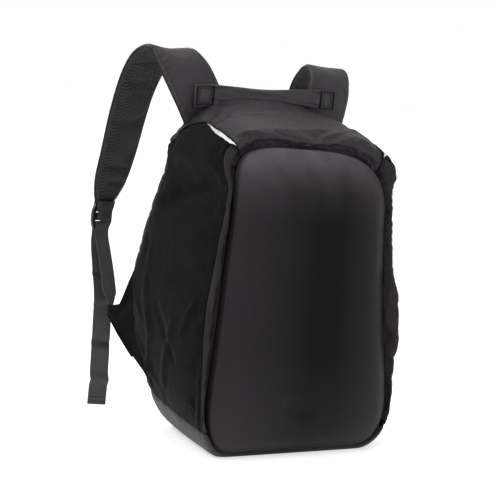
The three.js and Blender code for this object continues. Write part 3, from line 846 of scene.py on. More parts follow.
def cloth_panel(name, material):
    start, end, count, lines = PANELS[name]
    stations = between(start, end, count, lines)
    points = cloth_point(stations, lines[None, :])
    faces = facing(cloth_point, stations, lines[None, :])
    low, high, first, last = edge_distance(points)
    # Seams are drawn in a little, and the channel's floor and the back keep their place.
    seams = [low, high]
    if lines[0] > 0:
        seams.append(first)
    if lines[-1] < LAST_LINE:
        seams.append(last)
    lift = -SEAM_DIP * np.minimum(sum(near(d, SEAM_REACH) for d in seams), 1)
    lift = lift + fold_height(points, FOLDS, cloth_point)
    pucker = sum(near(d, 9) - near(d, 2.5) for d in seams)
    lift = lift + PUCKER * pucker * waves(points, 5, 13)
    ground = np.clip(points[..., 2] / 6, 0, 1)
    points = points + faces * (lift * ground)[..., None]
    beside_channel = np.clip(around("groove", stations) * 2 - 1, 0, 1)
    roll = np.clip(1 - np.abs(lines - ROLL_LINE) / ROLL_REACH, 0, 1) * beside_channel
    points = points + outward(stations) * (ROLL_OUT * roll)[..., None]
    points[..., 1] += ROLL_BACK * roll
    tucked = np.clip(3 - np.abs((stations + TOP_STATION) % RING - TOP_STATION), 0, 1)
    points[..., 1] += BASE_TUCK * tucked * np.clip(lines, 0, 2) / 2 * np.clip(6 - lines, 0, 1)
    points[..., 2] = np.maximum(points[..., 2], 0)
    held = np.minimum(sum(near(d, 3) for d in (low, high, first, last)), 1)
    held = np.maximum(held, 1 - ground)
    bm, order = grid_mesh(points)
    piece = finish_piece("cloth_" + name, bm, material, [name])
    slack = CLOTH_SLACK[name.split("_")[0]]
    settle_later(piece, held[order[:, 0], order[:, 1]], *slack, CLOTH_WALL)


# Spare cloth as a share of its size, filling pressure and the most it may move, in mm.
CLOTH_SLACK = {
    "top": (0.06, 3, 7),
    "base": (0.0, 0, 1),
    "border": (0.04, 2, 3),
    "side": (0.022, 3, 6),
    "rear": (0.03, 1, 3),
}
for name in PANELS:
    kind = name.split("_")[0]
    cloth = {"side": felt_cloth, "border": border_cloth}.get(kind, nylon_cloth)
    cloth_panel(name, cloth)


# Front and back panels: a patch inside the outline, with its rim rolled over by extrusion


def patch(edge, corner, top_corner, columns, rows, inset):
    """Grid of (x, z) filling an outline from its four sides, set in from it, and its stations."""
    u, v = np.linspace(0, 1, columns + 1), np.linspace(0, 1, rows + 1)

    def outline(s):
        point = edge_point(edge, s) - outward(s) * inset
        return point[..., [0, 2]]

    low, high = outline(corner - 2 * corner * u), outline(top_corner + (RING - 2 * top_corner) * u)
    left = outline(corner + (top_corner - corner) * v)
    right = outline(RING - corner - (top_corner - corner) * v)
    u, v = u[:, None, None], v[None, :, None]
    fill = (1 - v) * low[:, None] + v * high[:, None] + (1 - u) * left[None] + u * right[None]
    fill -= (1 - u) * ((1 - v) * low[0] + v * high[0]) + u * ((1 - v) * low[-1] + v * high[-1])
    return fill


def outline_stations(corner, top_corner, columns, rows):
    """Station of each grid place that lies on the outline."""
    at = {}
    for i in range(columns + 1):
        at[i, 0] = corner - 2 * corner * i / columns
        at[i, rows] = top_corner + (RING - 2 * top_corner) * i / columns
    for j in range(rows + 1):
        at[0, j] = corner + (top_corner - corner) * j / rows
        at[columns, j] = RING - corner - (top_corner - corner) * j / rows
    return at


def shell_panel(edge, depth_at, rim, columns, rows, inset, flip):
    """Crowned panel with a rolled rim. The rim's rings are (inset, back) pairs from the edge."""
    corner, top_corner = 3.0, 10.45
    flat = patch(edge, corner, top_corner, columns, rows, inset)
    a = np.linspace(-1, 1, columns + 1)[:, None] * np.ones(rows + 1)
    b = np.linspace(-1, 1, rows + 1)[None, :] * np.ones((columns + 1, 1))
    y = depth_at(flat[..., 0], flat[..., 1], a, b)
    points = np.stack([flat[..., 0], y, flat[..., 1]], -1)
    bm, place = grid_mesh(points, flip)
    place = [tuple(ij) for ij in place]
    at = outline_stations(corner, top_corner, columns, rows)
    edges = [e for e in bm.edges if e.is_boundary]
    order = {tuple(vert.co): at[place[vert.index]] for e in edges for vert in e.verts}
    for set_in, back in rim:
        made = bmesh.ops.extrude_edge_only(bm, edges=edges)["geom"]
        edges = [g for g in made if isinstance(g, bmesh.types.BMEdge)]
        order, before = {}, order
        for vert in (g for g in made if isinstance(g, bmesh.types.BMVert)):
            s = np.float64(before[tuple(vert.co)])
            point = edge_point(edge, s) - outward(s) * set_in
            point[1] = edge_back(edge, np.array(point[2])) + back(s)
            vert.co = Vector(point) * MM
            order[tuple(vert.co)] = s
    bmesh.ops.recalc_face_normals(bm, faces=bm.faces)
    return bm


# A small dent low on the front: its start and run in x and z, its width and depth, and how much
# deeper it is on its lower side
DENT_START, DENT_RUN = (-27, 71), (24, -13)
DENT_WIDTH, DENT_DEPTH, DENT_SLANT = 8, 3.0, 0.25


def front_depth(x, z, a, b):
    crown = (1 - np.abs(a) ** 2.6) * (1 - np.abs(b) ** 5)
    run_x, run_z = DENT_RUN
    from_x, from_z = x - DENT_START[0], z - DENT_START[1]
    share = np.clip((from_x * run_x + from_z * run_z) / (run_x**2 + run_z**2), 0, 1)
    off_x, off_z = from_x - run_x * share, from_z - run_z * share
    beside = (off_z * run_x - off_x * run_z) / math.hypot(run_x, run_z)
    dent = near(np.hypot(off_x, off_z), DENT_WIDTH) * (1 - DENT_SLANT * beside)
    return edge_back("front", z) - FRONT_CROWN * crown + DENT_DEPTH * dent


def groove_depth(s):
    return CHANNEL_DEPTH * around("groove", s)


front_rim = [(1.6, lambda s: 0.9), (0.4, lambda s: 2.4), (0.0, lambda s: 0.5 * groove_depth(s) + 1.2)]
front_rim.append((0.3, lambda s: groove_depth(s) + 1.5))
front = shell_panel("front", front_depth, front_rim, 44, 72, 4, False)
front_piece = finish_piece("moulded_front", front, satin_sheet, ["front_panel"])
thicken(front_piece, 3)


BACK_CHANNELS = (110, 190, 270, 350)


def back_depth(x, z, a, b):
    crown = (1 - np.abs(a) ** 4) * (1 - np.abs(b) ** 6)
    channels = near(x, 7) * np.clip((z - 60) / 40, 0, 1)
    for height in BACK_CHANNELS:
        channels = channels + near(z - height + 0.35 * np.abs(x), 6)
    return edge_back("rear", z) + (BACK_CROWN - 6 * np.minimum(channels, 1)) * crown


back_rim = [(0.3, lambda s: 0.0), (0.2, lambda s: -6.0)]
back = shell_panel("rear", back_depth, back_rim, 60, 90, 3, True)
back_piece = finish_piece("padded_back", back, air_mesh, ["back_panel"])
thicken(back_piece, 6)


# Straps, handle and webbing along their paths


def strap_path(name, count, rows=STRAP_PATH):
    """Places along a strap: points, width directions, widths and walls."""
    side = SIDES[name]
    place = np.linspace(0, len(rows["out"]) - 1, count + 1)
    column = {key: along(values, place) for key, values in rows.items()}
    slant, turn = np.radians(column["slant"]), np.radians(column["turn"])
    points = np.stack(
        [
            side * (STRAP_SPACING / 2 + column["out"] * SPLAYS[name]),
            STRAP_SEAT_BACK + column["back"] * STRAP_REACH,
            STRAP_SEAT_UP + column["up"] * STRAP_RISE,
        ],
        -1,
    )
    across = np.stack([np.cos(slant), -side * np.sin(turn), -side * np.sin(slant)], -1)
    return points, across, column["width"] * STRAP_WIDTH, column["wall"] * STRAP_WALL


# The strap's cloth runs a little further down than the pad, gathered over the webbing's loop.
STRAP_END = [1.01, 1.01, -1.79, 0, 20, 0.42, 0.75]
STRAP_CLOTH = {key: np.append(values, end) for (key, values), end in zip(STRAP_PATH.items(), STRAP_END)}


def band_axes(points, across):
    """Directions across and out of a band that runs along the points."""
    way = unit(np.gradient(points, axis=0))
    square = unit(across - way * np.sum(across * way, -1, keepdims=True))
    return way, square, np.cross(way, square)


def flat_tube(points, across, widths, walls, around_count=32, edge_power=0.35):
    """Closed band with rounded edges and ends: a grid rolled up, its seam and ends merged."""
    _, square, face = band_axes(points, across)
    angle = np.linspace(0, 2 * math.pi, around_count + 1)
    shape_x = np.sign(np.cos(angle)) * np.abs(np.cos(angle)) ** edge_power
    shape_y = np.sign(np.sin(angle)) * np.abs(np.sin(angle)) ** 0.75
    rings = []
    for i, point in enumerate(points):
        x = square[i] * (shape_x * widths[i] / 2)[:, None]
        y = face[i] * (shape_y * walls[i] / 2)[:, None]
        rings.append(point + x + y)
    first, last = rings[0], rings[-1]
    start = [first.mean(0) + (first - first.mean(0)) * k for k in (0.0, 0.7, 0.93)]
    end = [last.mean(0) + (last - last.mean(0)) * k for k in (0.93, 0.7, 0.0)]
    grid = np.array(start + rings + end)
    bm, _ = grid_mesh(grid)
    bmesh.ops.remove_doubles(bm, verts=bm.verts, dist=1e-6)
    bmesh.ops.recalc_face_normals(bm, faces=bm.faces)
    return bm


def sheet_piece(name, points, faces_way, material, replaces=(), wall=1.2, slack=None, held=None):
    """Cloth sheet facing the given way, walled at once or after it has settled."""
    turned = np.sum(np.cross(np.gradient(points, axis=0), np.gradient(points, axis=1)) * faces_way) < 0
    bm, order = grid_mesh(points, bool(turned))
    piece = finish_piece(name, bm, material, replaces)
    if slack:
        settle_later(piece, held[order[:, 0], order[:, 1]], *slack, wall)
    else:
        thicken(piece, wall)
    return piece


def join_meshes(target, bm):
    """Adds the target's geometry to a growing mesh and frees it."""
    held_mesh = bpy.data.meshes.new("held")
    bm.to_mesh(held_mesh)
    bm.free()
    target.from_mesh(held_mesh)
    bpy.data.meshes.remove(held_mesh)


def cord_mesh(points, thick):
    across = unit(np.cross(np.gradient(points, axis=0), (0.3, 0.2, 1.0)))
    count = len(points)
    return flat_tube(points, across, [thick] * count, [thick] * count, 8, 1.0)


STITCH_STEP = 3.0


def stitches(name, runs, bold=1.0):
    """Small raised stitches along runs of (points, normals), each run spaced 3 mm apart."""
    bm = bmesh.new()
    for points, normals in runs:
        far = np.concatenate([[0], np.cumsum(np.linalg.norm(np.diff(points, axis=0), axis=-1))])
        for place in np.arange(STITCH_STEP / 2, far[-1], STITCH_STEP):
            at = np.array([np.interp(place, far, points[:, k]) for k in range(3)])
            ahead = np.array([np.interp(place + 0.5, far, points[:, k]) for k in range(3)])
            up = Vector([np.interp(place, far, normals[:, k]) for k in range(3)]).normalized()
            way = Vector(ahead - at).normalized()
            side = up.cross(way).normalized()
            axes = Matrix((way, side, way.cross(side))).transposed().to_4x4()
            size = Matrix.Diagonal((1.25 * MM, 0.5 * bold * MM, 0.4 * bold * MM, 1))
            where = Matrix.Translation(Vector(at) * MM) @ axes @ size
            bmesh.ops.create_icosphere(bm, subdivisions=1, radius=1, matrix=where)
    return finish_piece(name, bm, thread)


def strap_surface(name, sign, along_share, across_share, lift=0.0):
    """Outer (-1) or inner (1) face of a strap at shares of its length and half width."""
    fine = 480
    points, across, widths, walls = strap_path(name, fine, STRAP_CLOTH)
    _, square, face = band_axes(points, across)
    at = np.asarray(along_share, float) * fine
    x = np.asarray(across_share, float)
    read = lambda column: np.stack([np.interp(at, np.arange(fine + 1), c) for c in column.T], -1)
    width = np.interp(at, np.arange(fine + 1), widths)
    wall = np.interp(at, np.arange(fine + 1), walls)
    left = np.interp(at, np.arange(fine + 1), strap_left(points))
    plump = np.maximum(1 - np.abs(x) ** 6, 0) ** 0.45
    end = np.clip(left / 9, 0, 1) ** 0.5 * 0.8 + 0.2
    bars = (near(left - 30, 3.2) + near(left - 50, 3.2)) * np.exp(-(((x - 0.15) / 0.55) ** 6))
    fan = 0.2 * near(left - 8, 14) * np.cos(x * 15)
    height = wall / 2 * plump * end * (1 - 0.6 * bars + fan)
    aside = read(square) * (x * width / 2)[..., None]
    return read(points) + aside + sign * read(face) * (height + lift)[..., None]


def strap_left(points):
    """Length of strap left below each of its points."""
    far = lengths_along(points, 0)
    return far[-1] - far


def strap_halves(name):
    """Nylon outside and mesh inside of a strap, sewn together along both edges."""
    along_share = np.linspace(0, 1, 121)[:, None]
    across_share = np.sin(np.linspace(-1, 1, 23) * math.pi / 2)[None, :]
    for sign, label, material, slot_name in (
        (-1, "pad", strap_cloth_painted_lighter, "nylon"),
        (1, "lining", air_mesh, "mesh"),
    ):
        points = strap_surface(name, sign, along_share + 0 * across_share, across_share + 0 * along_share)
        middle = strap_surface(name, -sign, along_share + 0 * across_share, across_share + 0 * along_share)
        low, high, first, last = edge_distance(points)
        held = np.minimum(near(low, 30) + near(high, 12) + near(first, 2.5) + near(last, 2.5), 1)
        node = ["strap_" + name] if label == "pad" else []
        piece = sheet_piece(
            label + "_" + name, points, points - middle, material, node, 1.0, (0.02, 2, 1.6), held
        )


def strap_edges(name):
    bm = bmesh.new()
    share = np.linspace(0, 0.998, 150)
    for x in (-1.0, 1.0):
        join_meshes(bm, cord_mesh(strap_surface(name, 1, share, 0 * share + x), 2.5))
    finish_piece("strap_edge_" + name, bm, border_cloth)


def strap_seams(name):
    """Topstitching beside both edges of a strap, on both of its faces."""
    share = np.linspace(0.12, 0.985, 200)
    runs = []
    for sign in (-1, 1):
        for x in (-0.86, 0.86):
            points = strap_surface(name, sign, share, 0 * share + x, 0.9)
            runs.append((points, unit(points - strap_surface(name, -sign, share, 0 * share + x))))
    stitches("strap_stitches_" + name, runs)


for side_name in SIDES:
    strap_halves(side_name)
    strap_edges(side_name)
    strap_seams(side_name)


# Grab handle: a band gathered at both ends and pinched in its middle, with a stitched box each end
HANDLE_UP, HANDLE_RISE, HANDLE_LIFT = 440, 12, 3.5
HANDLE_BACK, HANDLE_SAG, HANDLE_WIDTH = 40, 8, 26
HANDLE_FORM = table(
    ["width", "wall"],
    [[1.12, 3], [1.1, 3], [0.9, 5], [0.74, 6.5], [0.6, 8]]
    + [[0.58, 8], [0.7, 7], [0.84, 5.5], [0.95, 4], [1.0, 3]],
)
HANDLE_BOXES = {"left": (0.012, 0.13), "right": (0.9, 0.988)}


def handle_end(name):
    points, _, _, _ = strap_path(name, 260)
    return points[50][0] + SIDES[name] * 5


def handle_place(share):
    start, end = handle_end("left"), handle_end("right")
    return np.stack(
        [
            start + (end - start) * share,
            HANDLE_BACK + HANDLE_SAG * np.sin(math.pi * share) - 1.5,
            HANDLE_UP + HANDLE_RISE * (share - 0.5) + HANDLE_LIFT * np.sin(math.pi * share),
        ],
        -1,
    )


def grab_handle():
    share = np.linspace(0, 1, 120)
    points = handle_place(share)
    place = share * (len(HANDLE_FORM["width"]) - 1)
    across = np.zeros_like(points) + (0, 0, 1.0)
    widths, walls = along(HANDLE_FORM["width"], place) * HANDLE_WIDTH, along(HANDLE_FORM["wall"], place)
    bm = flat_tube(points, across, widths, walls, 48, 0.5)
    for vert in bm.verts:
        x = (vert.co.x / MM - points[0][0]) / (points[-1][0] - points[0][0])
        up = vert.co.z / MM - handle_place(np.array(x))[2]
        gather = math.exp(-(((x - 0.18) / 0.06) ** 2)) + math.exp(-(((x - 0.86) / 0.05) ** 2))
        middle = math.exp(-(((x - 0.5) / 0.2) ** 2))
        fold = 1.1 * gather * math.sin(up * 1.15 + 9 * x) + 0.8 * middle * math.sin(up * 0.7 + 11 * x)
        crease = -1.8 * math.exp(-(((x - 0.5) * 60 + up * 0.08) ** 2))
        box = -0.9 * sum(max(0, 1 - abs(x - edge) * 60) for edge in (0.135, 0.895))
        vert.co.y -= (fold + crease + box) * MM
    piece = finish_piece("handle_band", bm, handle_cloth_painted_lighter, ["grab_handle"])
    soften(piece)


def handle_box(name):
    """Two lines of stitches round the sewn end of the handle."""
    low, high = HANDLE_BOXES[name]
    runs = []
    for inset in (0.0, 0.018):
        a0, a1, half = low + inset, high - inset, 11.5 - 150 * inset
        corners = [(a0, -half), (a1, -half), (a1, half), (a0, half), (a0, -half)]
        route = np.concatenate([np.linspace(p, q, 20) for p, q in zip(corners, corners[1:])])
        line = handle_place(route[:, 0]) + (0, -2.1, 0)
        line[:, 2] += route[:, 1]
        runs.append((line, np.zeros_like(line) + (0, -1.0, 0)))
    stitches("handle_stitches_" + name, runs, bold=1.8)
    # Painted shadow: dark felt cords laid on the band beside the outer line of stitches, standing in for the
    # shade in the dents that the stitches pull into the band
    bm = bmesh.new()
    for number in range(4):
        side_line = runs[0][0][20 * number : 20 * number + 20] + (0, 0.2, 0)
        join_meshes(bm, cord_mesh(side_line, 1.4 + 0.5 * (number % 2)))
    finish_piece("handle_stitch_shadows_" + name, bm, felt_cloth)


grab_handle()
for side_name in SIDES:
    handle_box(side_name)


# Ladder-lock buckles, their loops and the adjusting webbing
BUCKLE_RAIL, BUCKLE_BAR, BUCKLE_SLOT, BUCKLE_WALL = 5, 4.4, 7.5, 4
BAR_LIP, RAIL_LIP = 2.9, 0.3
TIP_TOP, TIP_LENGTH, TIP_FRONT = 21, 27.5, 6.6
# Half width and half depth of a strap's gathered tip, at shares of its length
TIP_WIDTHS = [0, 0.3, 0.55, 0.8, 0.93, 1], [16.5, 14.5, 12, 12.5, 9.5, 0.2]
TIP_DEPTHS = [0, 0.3, 0.5, 0.75, 0.93, 1], [4.0, 4.6, 3.2, 4.8, 3.2, 0.2]
WEBBING_SLACK, LOOP_LEG = 0.5, 9
TAIL_LENGTH, TAIL_SWING, HEM_LENGTH = 236, 18, 14
BEND = BUCKLE_WALL / 2 + CLEARANCE + WEBBING_WALL / 2
RIBBON_STEP = 2.0
# Shares of the webbing's width at distances from its gathered foot
FOOT_WIDTHS = [0, 8, 26], [0.25, 0.36, 1.0]
TAIL_PATH = [
    (0.1, 0.15, 0.1, 18),
    (0.22, -0.1, 0.3, 8),
    (0.38, -0.4, 0.6, -6),
    (0.56, -0.5, 0.72, -14),
    (0.75, -0.55, 0.8, -18),
    (0.9, -0.6, 0.84, -20),
]
TAIL_KINKS = [(34, (0, -3.5, 0)), (84, (2, 5, 0)), (142, (-2, -4, 0)), (176, (1.5, 3.5, 0))]
WING_ROOT, WING_WALL, WING_TIP_ACROSS, WING_TIP_BACK, WING_TIP_UP = 112, 3, 342, 109, 145
WING_STATION, WING_ROWS, WING_COLUMNS = 5.25, 64, 26
WING_PATH = table(
    ["along", "low", "high"],
    [
        [-1.4, -0.93, 0.8],
        [-1.12, -0.845, 0.8],
        [-0.83, -0.728, 0.8],
        [-0.53, -0.612, 0.8],
        [-0.1, -0.475, 0.72],
        [0.1, -0.405, 0.535],
        [0.28, -0.335, 0.363],
        [0.44, -0.272, 0.193],
        [0.55, -0.23, 0.09],
        [0.84, -0.1, 0.062],
        [0.92, -0.068, 0.062],
        [1.0, -0.03, 0.062],
    ],
)


def buckle_frame(name):
    """Middle of a buckle, and its directions across, out and up."""
    side = SIDES[name]
    points, across, _, walls = strap_path(name, 480)
    _, _, face = band_axes(points[-3:], across[-3:])
    low = points[-1][2] - abs(walls[-1] / 2 * face[-1][2])
    wide = unit(np.array([across[-1][0], across[-1][1], 0]))
    out = np.cross((0, 0, 1), wide)
    hang = CLEARANCE + LOOP_LEG + BEND + 1.5 * BUCKLE_BAR + BUCKLE_SLOT
    middle = np.array([points[-1][0] + side * 2, points[-1][1] + 2, low - hang])
    return low, wide, lambda x, y, z: middle + wide * x + out * y + np.array([0, 0, z])


def buckle(name):
    """Frame with two slots: a grid of bars with rounded edges."""
    _, _, at = buckle_frame(name)
    inner = WEBBING_WIDTH / 2 + WEBBING_SLACK
    outer = inner + BUCKLE_RAIL
    half = BUCKLE_BAR / 2 + BAR_LIP
    step = BUCKLE_SLOT + BUCKLE_BAR
    ups = [-step - half, -step + half, -half, half, step - half, step + half]
    outs = [-outer, -inner, 0, inner, outer]
    bm = bmesh.new()
    bmesh.ops.create_grid(bm, x_segments=4, y_segments=5, size=0.5)
    doomed = []
    for face in bm.faces:
        centre = face.calc_center_median()
        column, row = int((centre.x + 0.5) * 4), int((centre.y + 0.5) * 5)
        if column in (1, 2) and row in (1, 3):
            doomed.append(face)
    bmesh.ops.delete(bm, geom=doomed, context="FACES")
    for vert in bm.verts:
        i, j = round((vert.co.x + 0.5) * 4), round((vert.co.y + 0.5) * 5)
        x, z = outs[i], ups[j]
        if i in (0, 4):
            x *= 0.8 if j in (0, 5) else 1.04
        if i in (1, 3):
            x *= 1 - RAIL_LIP / inner
        vert.co = Vector(at(x, 0, z)) * MM
    piece = finish_piece("lock_" + name, bm, moulded_plastic, ["buckle_" + name])
    solid = piece.modifiers.new("wall", "SOLIDIFY")
    solid.thickness, solid.offset = BUCKLE_WALL * MM, 0
    bevel = piece.modifiers.new("edges", "BEVEL")
    bevel.width, bevel.segments, bevel.angle_limit = 1.8 * MM, 4, math.radians(30)


def strap_tip(name):
    """Gathered end of a strap, which hangs down over the upper half of its buckle."""
    _, _, at = buckle_frame(name)
    side = SIDES[name]
    turn = np.linspace(0, 2 * math.pi, 49)[None, :]
    down = np.linspace(0, 1, 34)[:, None]
    width, deep = np.interp(down, *TIP_WIDTHS), np.interp(down, *TIP_DEPTHS)
    fan = 1 + 0.08 * np.cos(turn * 9 + down * 3) * np.sin(math.pi * down)
    x = width * fan * np.sign(np.cos(turn)) * np.abs(np.cos(turn)) ** 0.8 + side * 2 * down
    y = deep * fan * np.sin(turn) - TIP_FRONT
    points = at(0, 0, 0) + np.zeros((*x.shape, 3))
    axes = [at(*v) - at(0, 0, 0) for v in ((1, 0, 0), (0, 1, 0), (0, 0, 1))]
    for share, axis in zip((x, y, TIP_TOP - TIP_LENGTH * down + 0 * turn), axes):
        points = points + share[..., None] * axis
    bm, _ = grid_mesh(points)
    bmesh.ops.remove_doubles(bm, verts=bm.verts, dist=1e-6)
    bmesh.ops.recalc_face_normals(bm, faces=bm.faces)
    piece = finish_piece("tip_" + name, bm, air_mesh)
    soften(piece)


def around_bar(at, height, over):
    angles = np.radians([0, 30, 60, 90, 120, 150, 180])
    return [at(0, -BEND * math.cos(a), height + over * (BUCKLE_BAR / 2 + BEND * math.sin(a))) for a in angles]


def even_line(values, spacing):
    """Points on a smooth line through the given ones, never swinging beyond them."""
    values = np.array(values, float)
    far = np.concatenate([[0], np.cumsum(np.linalg.norm(np.diff(values[:, :3], axis=0), axis=-1))])
    gaps = np.diff(far)[:, None]
    slopes = np.diff(values, axis=0) / gaps
    inner = (slopes[:-1] * gaps[1:] + slopes[1:] * gaps[:-1]) / (gaps[:-1] + gaps[1:])
    tangents = np.concatenate([slopes[:1], inner, slopes[-1:]])
    at = np.linspace(0, far[-1], int(far[-1] / spacing) + 2)
    i = np.clip(np.searchsorted(far, at, side="right") - 1, 0, len(far) - 2)
    f, h = ((at - far[i]) / gaps[i, 0])[:, None], gaps[i]
    low = (1 + 2 * f) * (1 - f) ** 2 * values[i] + f * (1 - f) ** 2 * h * tangents[i]
    return low + f**2 * (3 - 2 * f) * values[i + 1] + f**2 * (f - 1) * h * tangents[i + 1]


def ribbon(name, places, walls=None, replaces=(), widths=None, kinks=()):
    """Webbing along rows of point and across direction, with kinks some way before its end."""
    line = even_line(places, RIBBON_STEP)
    count = len(line)
    for back, bend in kinks:
        line[:, :3] += np.outer(near(np.arange(count)[::-1] * RIBBON_STEP - back, 5), bend)
    thick = [WEBBING_WALL] * count if walls is None else walls(count)
    wide = [WEBBING_WIDTH] * count if widths is None else widths(count)
    bm = flat_tube(line[:, :3], unit(line[:, 3:]), wide, thick, 16, 0.2)
    piece = finish_piece(name, bm, ribbed_webbing, replaces)
    soften(piece)
    return line


def wing_frame(name):
    """Root and tip of a wing, and the level way from one to the other."""
    side = SIDES[name]
    root = cloth_point(WING_STATION if side < 0 else RING - WING_STATION, REAR_LINE)
    tip = np.array([side * WING_TIP_ACROSS / 2, WING_TIP_BACK, WING_TIP_UP])
    return root, tip, (tip - root) * (1, 1, 0)


def wing(name):
    """Flap of felt from the side of the bag to the webbing, drawn into soft folds at its tip."""
    root, _, way = wing_frame(name)
    rows = WING_PATH["along"]
    far = np.linspace(rows[0], rows[-1], WING_ROWS)[:, None]
    up = np.linspace(0, 1, WING_COLUMNS)[None, :]
    low = np.interp(far, rows, WING_PATH["low"]) * WING_ROOT
    high = np.interp(far, rows, WING_PATH["high"]) * WING_ROOT
    points = root + way * far[..., None] + np.zeros((WING_ROWS, WING_COLUMNS, 1))
    points[..., 2] = WING_TIP_UP + low + (high - low) * up
    square = unit(np.cross((0, 0, 1), way)) * SIDES[name]
    fade = np.clip(1.02 - far, 0, 1) * np.clip(far * 3 + 1, 0, 1)
    folds = np.sin(up * 9.5 + 0.8) * 2.2 + np.sin(up * 21 + far * 3) * 0.7
    edge = 1 - near(up, 0.05) - near(1 - up, 0.05)
    points = points + square * (folds * fade * edge)[..., None]
    sheet_piece("flap_" + name, points, square + 0 * points, felt_cloth, ["wing_" + name], WING_WALL)
    for number, (row, start) in enumerate(((0, 34), (WING_COLUMNS - 1, 38))):
        edge_line = points[start:, row] - square * WING_WALL / 2
        finish_piece(f"flap_hem_{number}_{name}", cord_mesh(edge_line, 3.4), felt_cloth)


def webbing(name):
    side = SIDES[name]
    low_edge, across, at = buckle_frame(name)
    _, tip, way = wing_frame(name)
    foot = tip - unit(way) * 4
    foot[2] += WING_PATH["high"][-1] * WING_ROOT - 6
    low = -(BUCKLE_SLOT + BUCKLE_BAR)
    top = at(0, -BEND, low - 3 * BUCKLE_BAR)
    sag = np.array([-side * 2.5, 1.5, 0])
    rows = [(foot, across)]
    for share in (0.2, 0.4, 0.6, 0.8):
        rows.append((foot + (top - foot) * share + sag * math.sin(math.pi * share), across))
    rows += [(at(0, -BEND, low - k * BUCKLE_BAR), across) for k in (2, 1)]
    rows += [(point, across) for point in around_bar(at, low, 1)]
    rows += [(at(0, BEND, low - k * BUCKLE_BAR), across) for k in (1, 2)]
    for down, back, inwards, turn in TAIL_PATH:
        point = at(0, BEND, low - down * TAIL_LENGTH) + (-side * inwards * TAIL_SWING, back * TAIL_SWING, 0)
        angle = math.radians(turn)
        rows.append((point, (math.cos(angle), -side * math.sin(angle), 0)))
    rows.append((rows[-1][0] - (0, 0, 2 * HEM_LENGTH), rows[-1][1]))

    def hemmed(count):
        walls = np.full(count, float(WEBBING_WALL))
        walls[-8:] = 2 * WEBBING_WALL
        return walls

    def gathered(count):
        return WEBBING_WIDTH * np.interp(np.arange(count) * RIBBON_STEP, *FOOT_WIDTHS)

    places = [np.concatenate(row) for row in rows]
    line = ribbon("strip_" + name, places, hemmed, ["webbing_" + name], gathered, TAIL_KINKS)
    runs = []
    for back in (3, 6):
        point, wide = line[-back][:3], unit(line[-back][3:])
        face = unit(np.cross(line[-back][:3] - line[-back - 1][:3], wide))
        for sign in (-1, 1):
            ends = [point + face * sign * 1.7 + wide * x for x in (-11, 11)]
            runs.append((np.array(ends), np.array([face * sign] * 2)))
    stitches("hem_stitches_" + name, runs, 1.6)
    bend = around_bar(at, BUCKLE_SLOT + BUCKLE_BAR, -1)
    leg = low_edge + 3 - at(0, 0, 0)[2]
    loop = [at(0, -BEND, leg), *bend, at(0, BEND, leg)]
    ribbon("loop_" + name, [np.concatenate([p, across]) for p in loop], None, ["strap_loop_" + name])


for side_name in SIDES:
    buckle(side_name)
    strap_tip(side_name)
    wing(side_name)
    webbing(side_name)


# Reflective strips just under the top seams, between two lines of the cloth
TAPE_START, TAPE_END = 3.75, 7.0


def reflector(name):
    lines = np.linspace(TAPE_START, TAPE_END, 44)
    seam = top_seam(lines)
    ragged = 0.04 * np.sin(lines * 9) + 0.03 * np.sin(lines * 23)
    taper = np.clip((TAPE_END - lines) / 0.9, 0.12, 1) * np.clip((lines - TAPE_START) / 0.8, 0.1, 1)
    share = 0.03 + np.linspace(0, 0.25, 7)[:, None] * (1 + ragged) * taper
    stations = seam + share * (BASE_SEAM - seam) / 14
    if SIDES[name] > 0:
        stations = RING - stations
    points = cloth_point(stations, lines[None, :])
    faces = facing(cloth_point, stations, lines[None, :])
    lift = 1.9 + fold_height(points, FOLDS, cloth_point) + 0.5 * waves(points, 9, 13)
    points = points + faces * lift[..., None]
    sheet_piece("tape_" + name, points, faces, silver_tape, ["reflective_strip_" + name], 0.8)


for side_name in SIDES:
    reflector(side_name)


def seam_allowance(name, station):
    """Dark turned-in cloth behind the seam between the base and its neighbours."""
    lines = np.linspace(0, LAST_LINE, 160)[None, :]
    stations = station + np.linspace(-0.16, 0.16, 7)[:, None]
    points = cloth_point(stations, lines)
    faces = facing(cloth_point, stations, lines)
    inwards = 3.2 + 1.2 * np.abs(np.linspace(-1, 1, 7))[:, None]
    points = points - faces * np.where(points[..., 2] > 3, inwards, 0)[..., None]
    sheet_piece("seam_allowance_" + name, points, faces, felt_cloth)


seam_allowance("left", BASE_SEAM)
seam_allowance("right", RING - BASE_SEAM)


# Topstitching along the seams of the body
def seam_run(stations, lines, step):
    points = cloth_point(stations, lines)
    faces = facing(cloth_point, stations, lines)
    lift = 0.5 + fold_height(points, FOLDS, cloth_point) - SEAM_DIP * near(step, SEAM_REACH)
    return points + faces * lift[..., None], faces


upper = np.linspace(BORDER_LINE + 0.2, LAST_LINE - 0.6, 120)
rising = np.linspace(BASE_SEAM + 0.2, 10.2, 160)
for name, mirrored in (("left", False), ("right", True)):
    # Dark felt cord along part of each top seam, above the reflective strip: piping, made in the darkest
    # cloth as a painted shadow line under the top panel's edge.
    piped = np.linspace(2.6, 8.6, 90)
    stations = top_seam(piped) + 0.02
    line, _ = seam_run(RING - stations if mirrored else stations, piped, 99)
    finish_piece("piping_and_shadow_" + name, cord_mesh(line, 2.2), felt_cloth)
body_runs = [seam_run(top_seam(upper) + 0.09, upper, 4), seam_run(RING - top_seam(upper) - 0.09, upper, 4)]
for mirrored in (False, True):
    stations = RING - rising if mirrored else rising
    body_runs.append(seam_run(stations, 0 * rising + BORDER_LINE - 0.22, 4))
    body_runs.append(seam_run(stations, 0 * rising + REAR_LINE + 0.25, 4))
stitches("body_stitches", body_runs)


# Floor and light


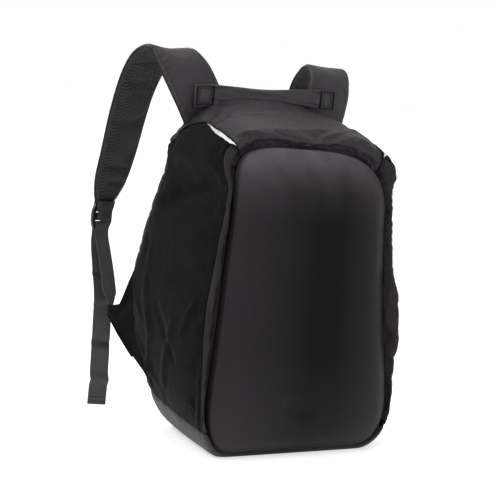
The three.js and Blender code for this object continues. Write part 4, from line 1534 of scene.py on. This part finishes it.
floor_mesh = bmesh.new()
bmesh.ops.create_grid(floor_mesh, x_segments=1, y_segments=1, size=60)
floor_data = bpy.data.meshes.new("floor")
floor_mesh.to_mesh(floor_data)
floor_mesh.free()
floor = bpy.data.objects.new("floor", floor_data)
scene.collection.objects.link(floor)
pale, _, pale_shader = shader("pale_floor", (0.88, 0.88, 0.88), 0.9)
pale_shader.inputs["Emission Color"].default_value = (1, 1, 1, 1)
pale_shader.inputs["Emission Strength"].default_value = 0.5
floor_data.materials.append(pale)

world = bpy.data.worlds.new("studio")
world.use_nodes = True
sky = world.node_tree
facing_way = sky.nodes.new("ShaderNodeTexCoord").outputs["Generated"]
x, y, z = split(sky, facing_way)
behind = weighed(sky, (x, -0.15), (y, 0.85), (z, -0.1))
strength = span(sky, behind, -0.75, 0.35, 0.34, 1.0)
# The sky is white all round at the height of the horizon.
level = span(sky, value(sky, "ABSOLUTE", z), 0.1, 0.2, 1.0, 0.0)
strength = value(sky, "MAXIMUM", strength, level)
sky.nodes["Background"].inputs["Color"].default_value = (1, 1, 1, 1)
sky.links.new(strength, sky.nodes["Background"].inputs["Strength"])
scene.world = world


def soft_light(name, place, target, size, power):
    data = bpy.data.lights.new(name, "AREA")
    data.shape = "RECTANGLE"
    data.size, data.size_y = size
    data.energy = power
    light = bpy.data.objects.new(name, data)
    scene.collection.objects.link(light)
    place, target = Vector(place), Vector(target)
    turn = (target - place).to_track_quat("-Z", "Y").to_matrix().to_4x4()
    light.matrix_world = Matrix.Translation(place) @ turn


soft_light("overhead", (-0.2, -0.2, 2.4), (0, 0, 0.2), (1.6, 1.2), 15)
soft_light("left", (-1.7, -1.5, 1.2), (0, 0, 0.25), (0.7, 1.4), 7)
soft_light("rear left", (-1.5, 0.9, 1.7), (0, 0, 0.25), (0.6, 0.9), 13)
soft_light("right", (2.2, -0.9, 1.1), (0, 0, 0.25), (0.8, 1.6), 1.3)

scene.view_settings.view_transform = "Standard"

settle()
for piece, *_, wall in SETTLING:
    thicken(piece, wall)
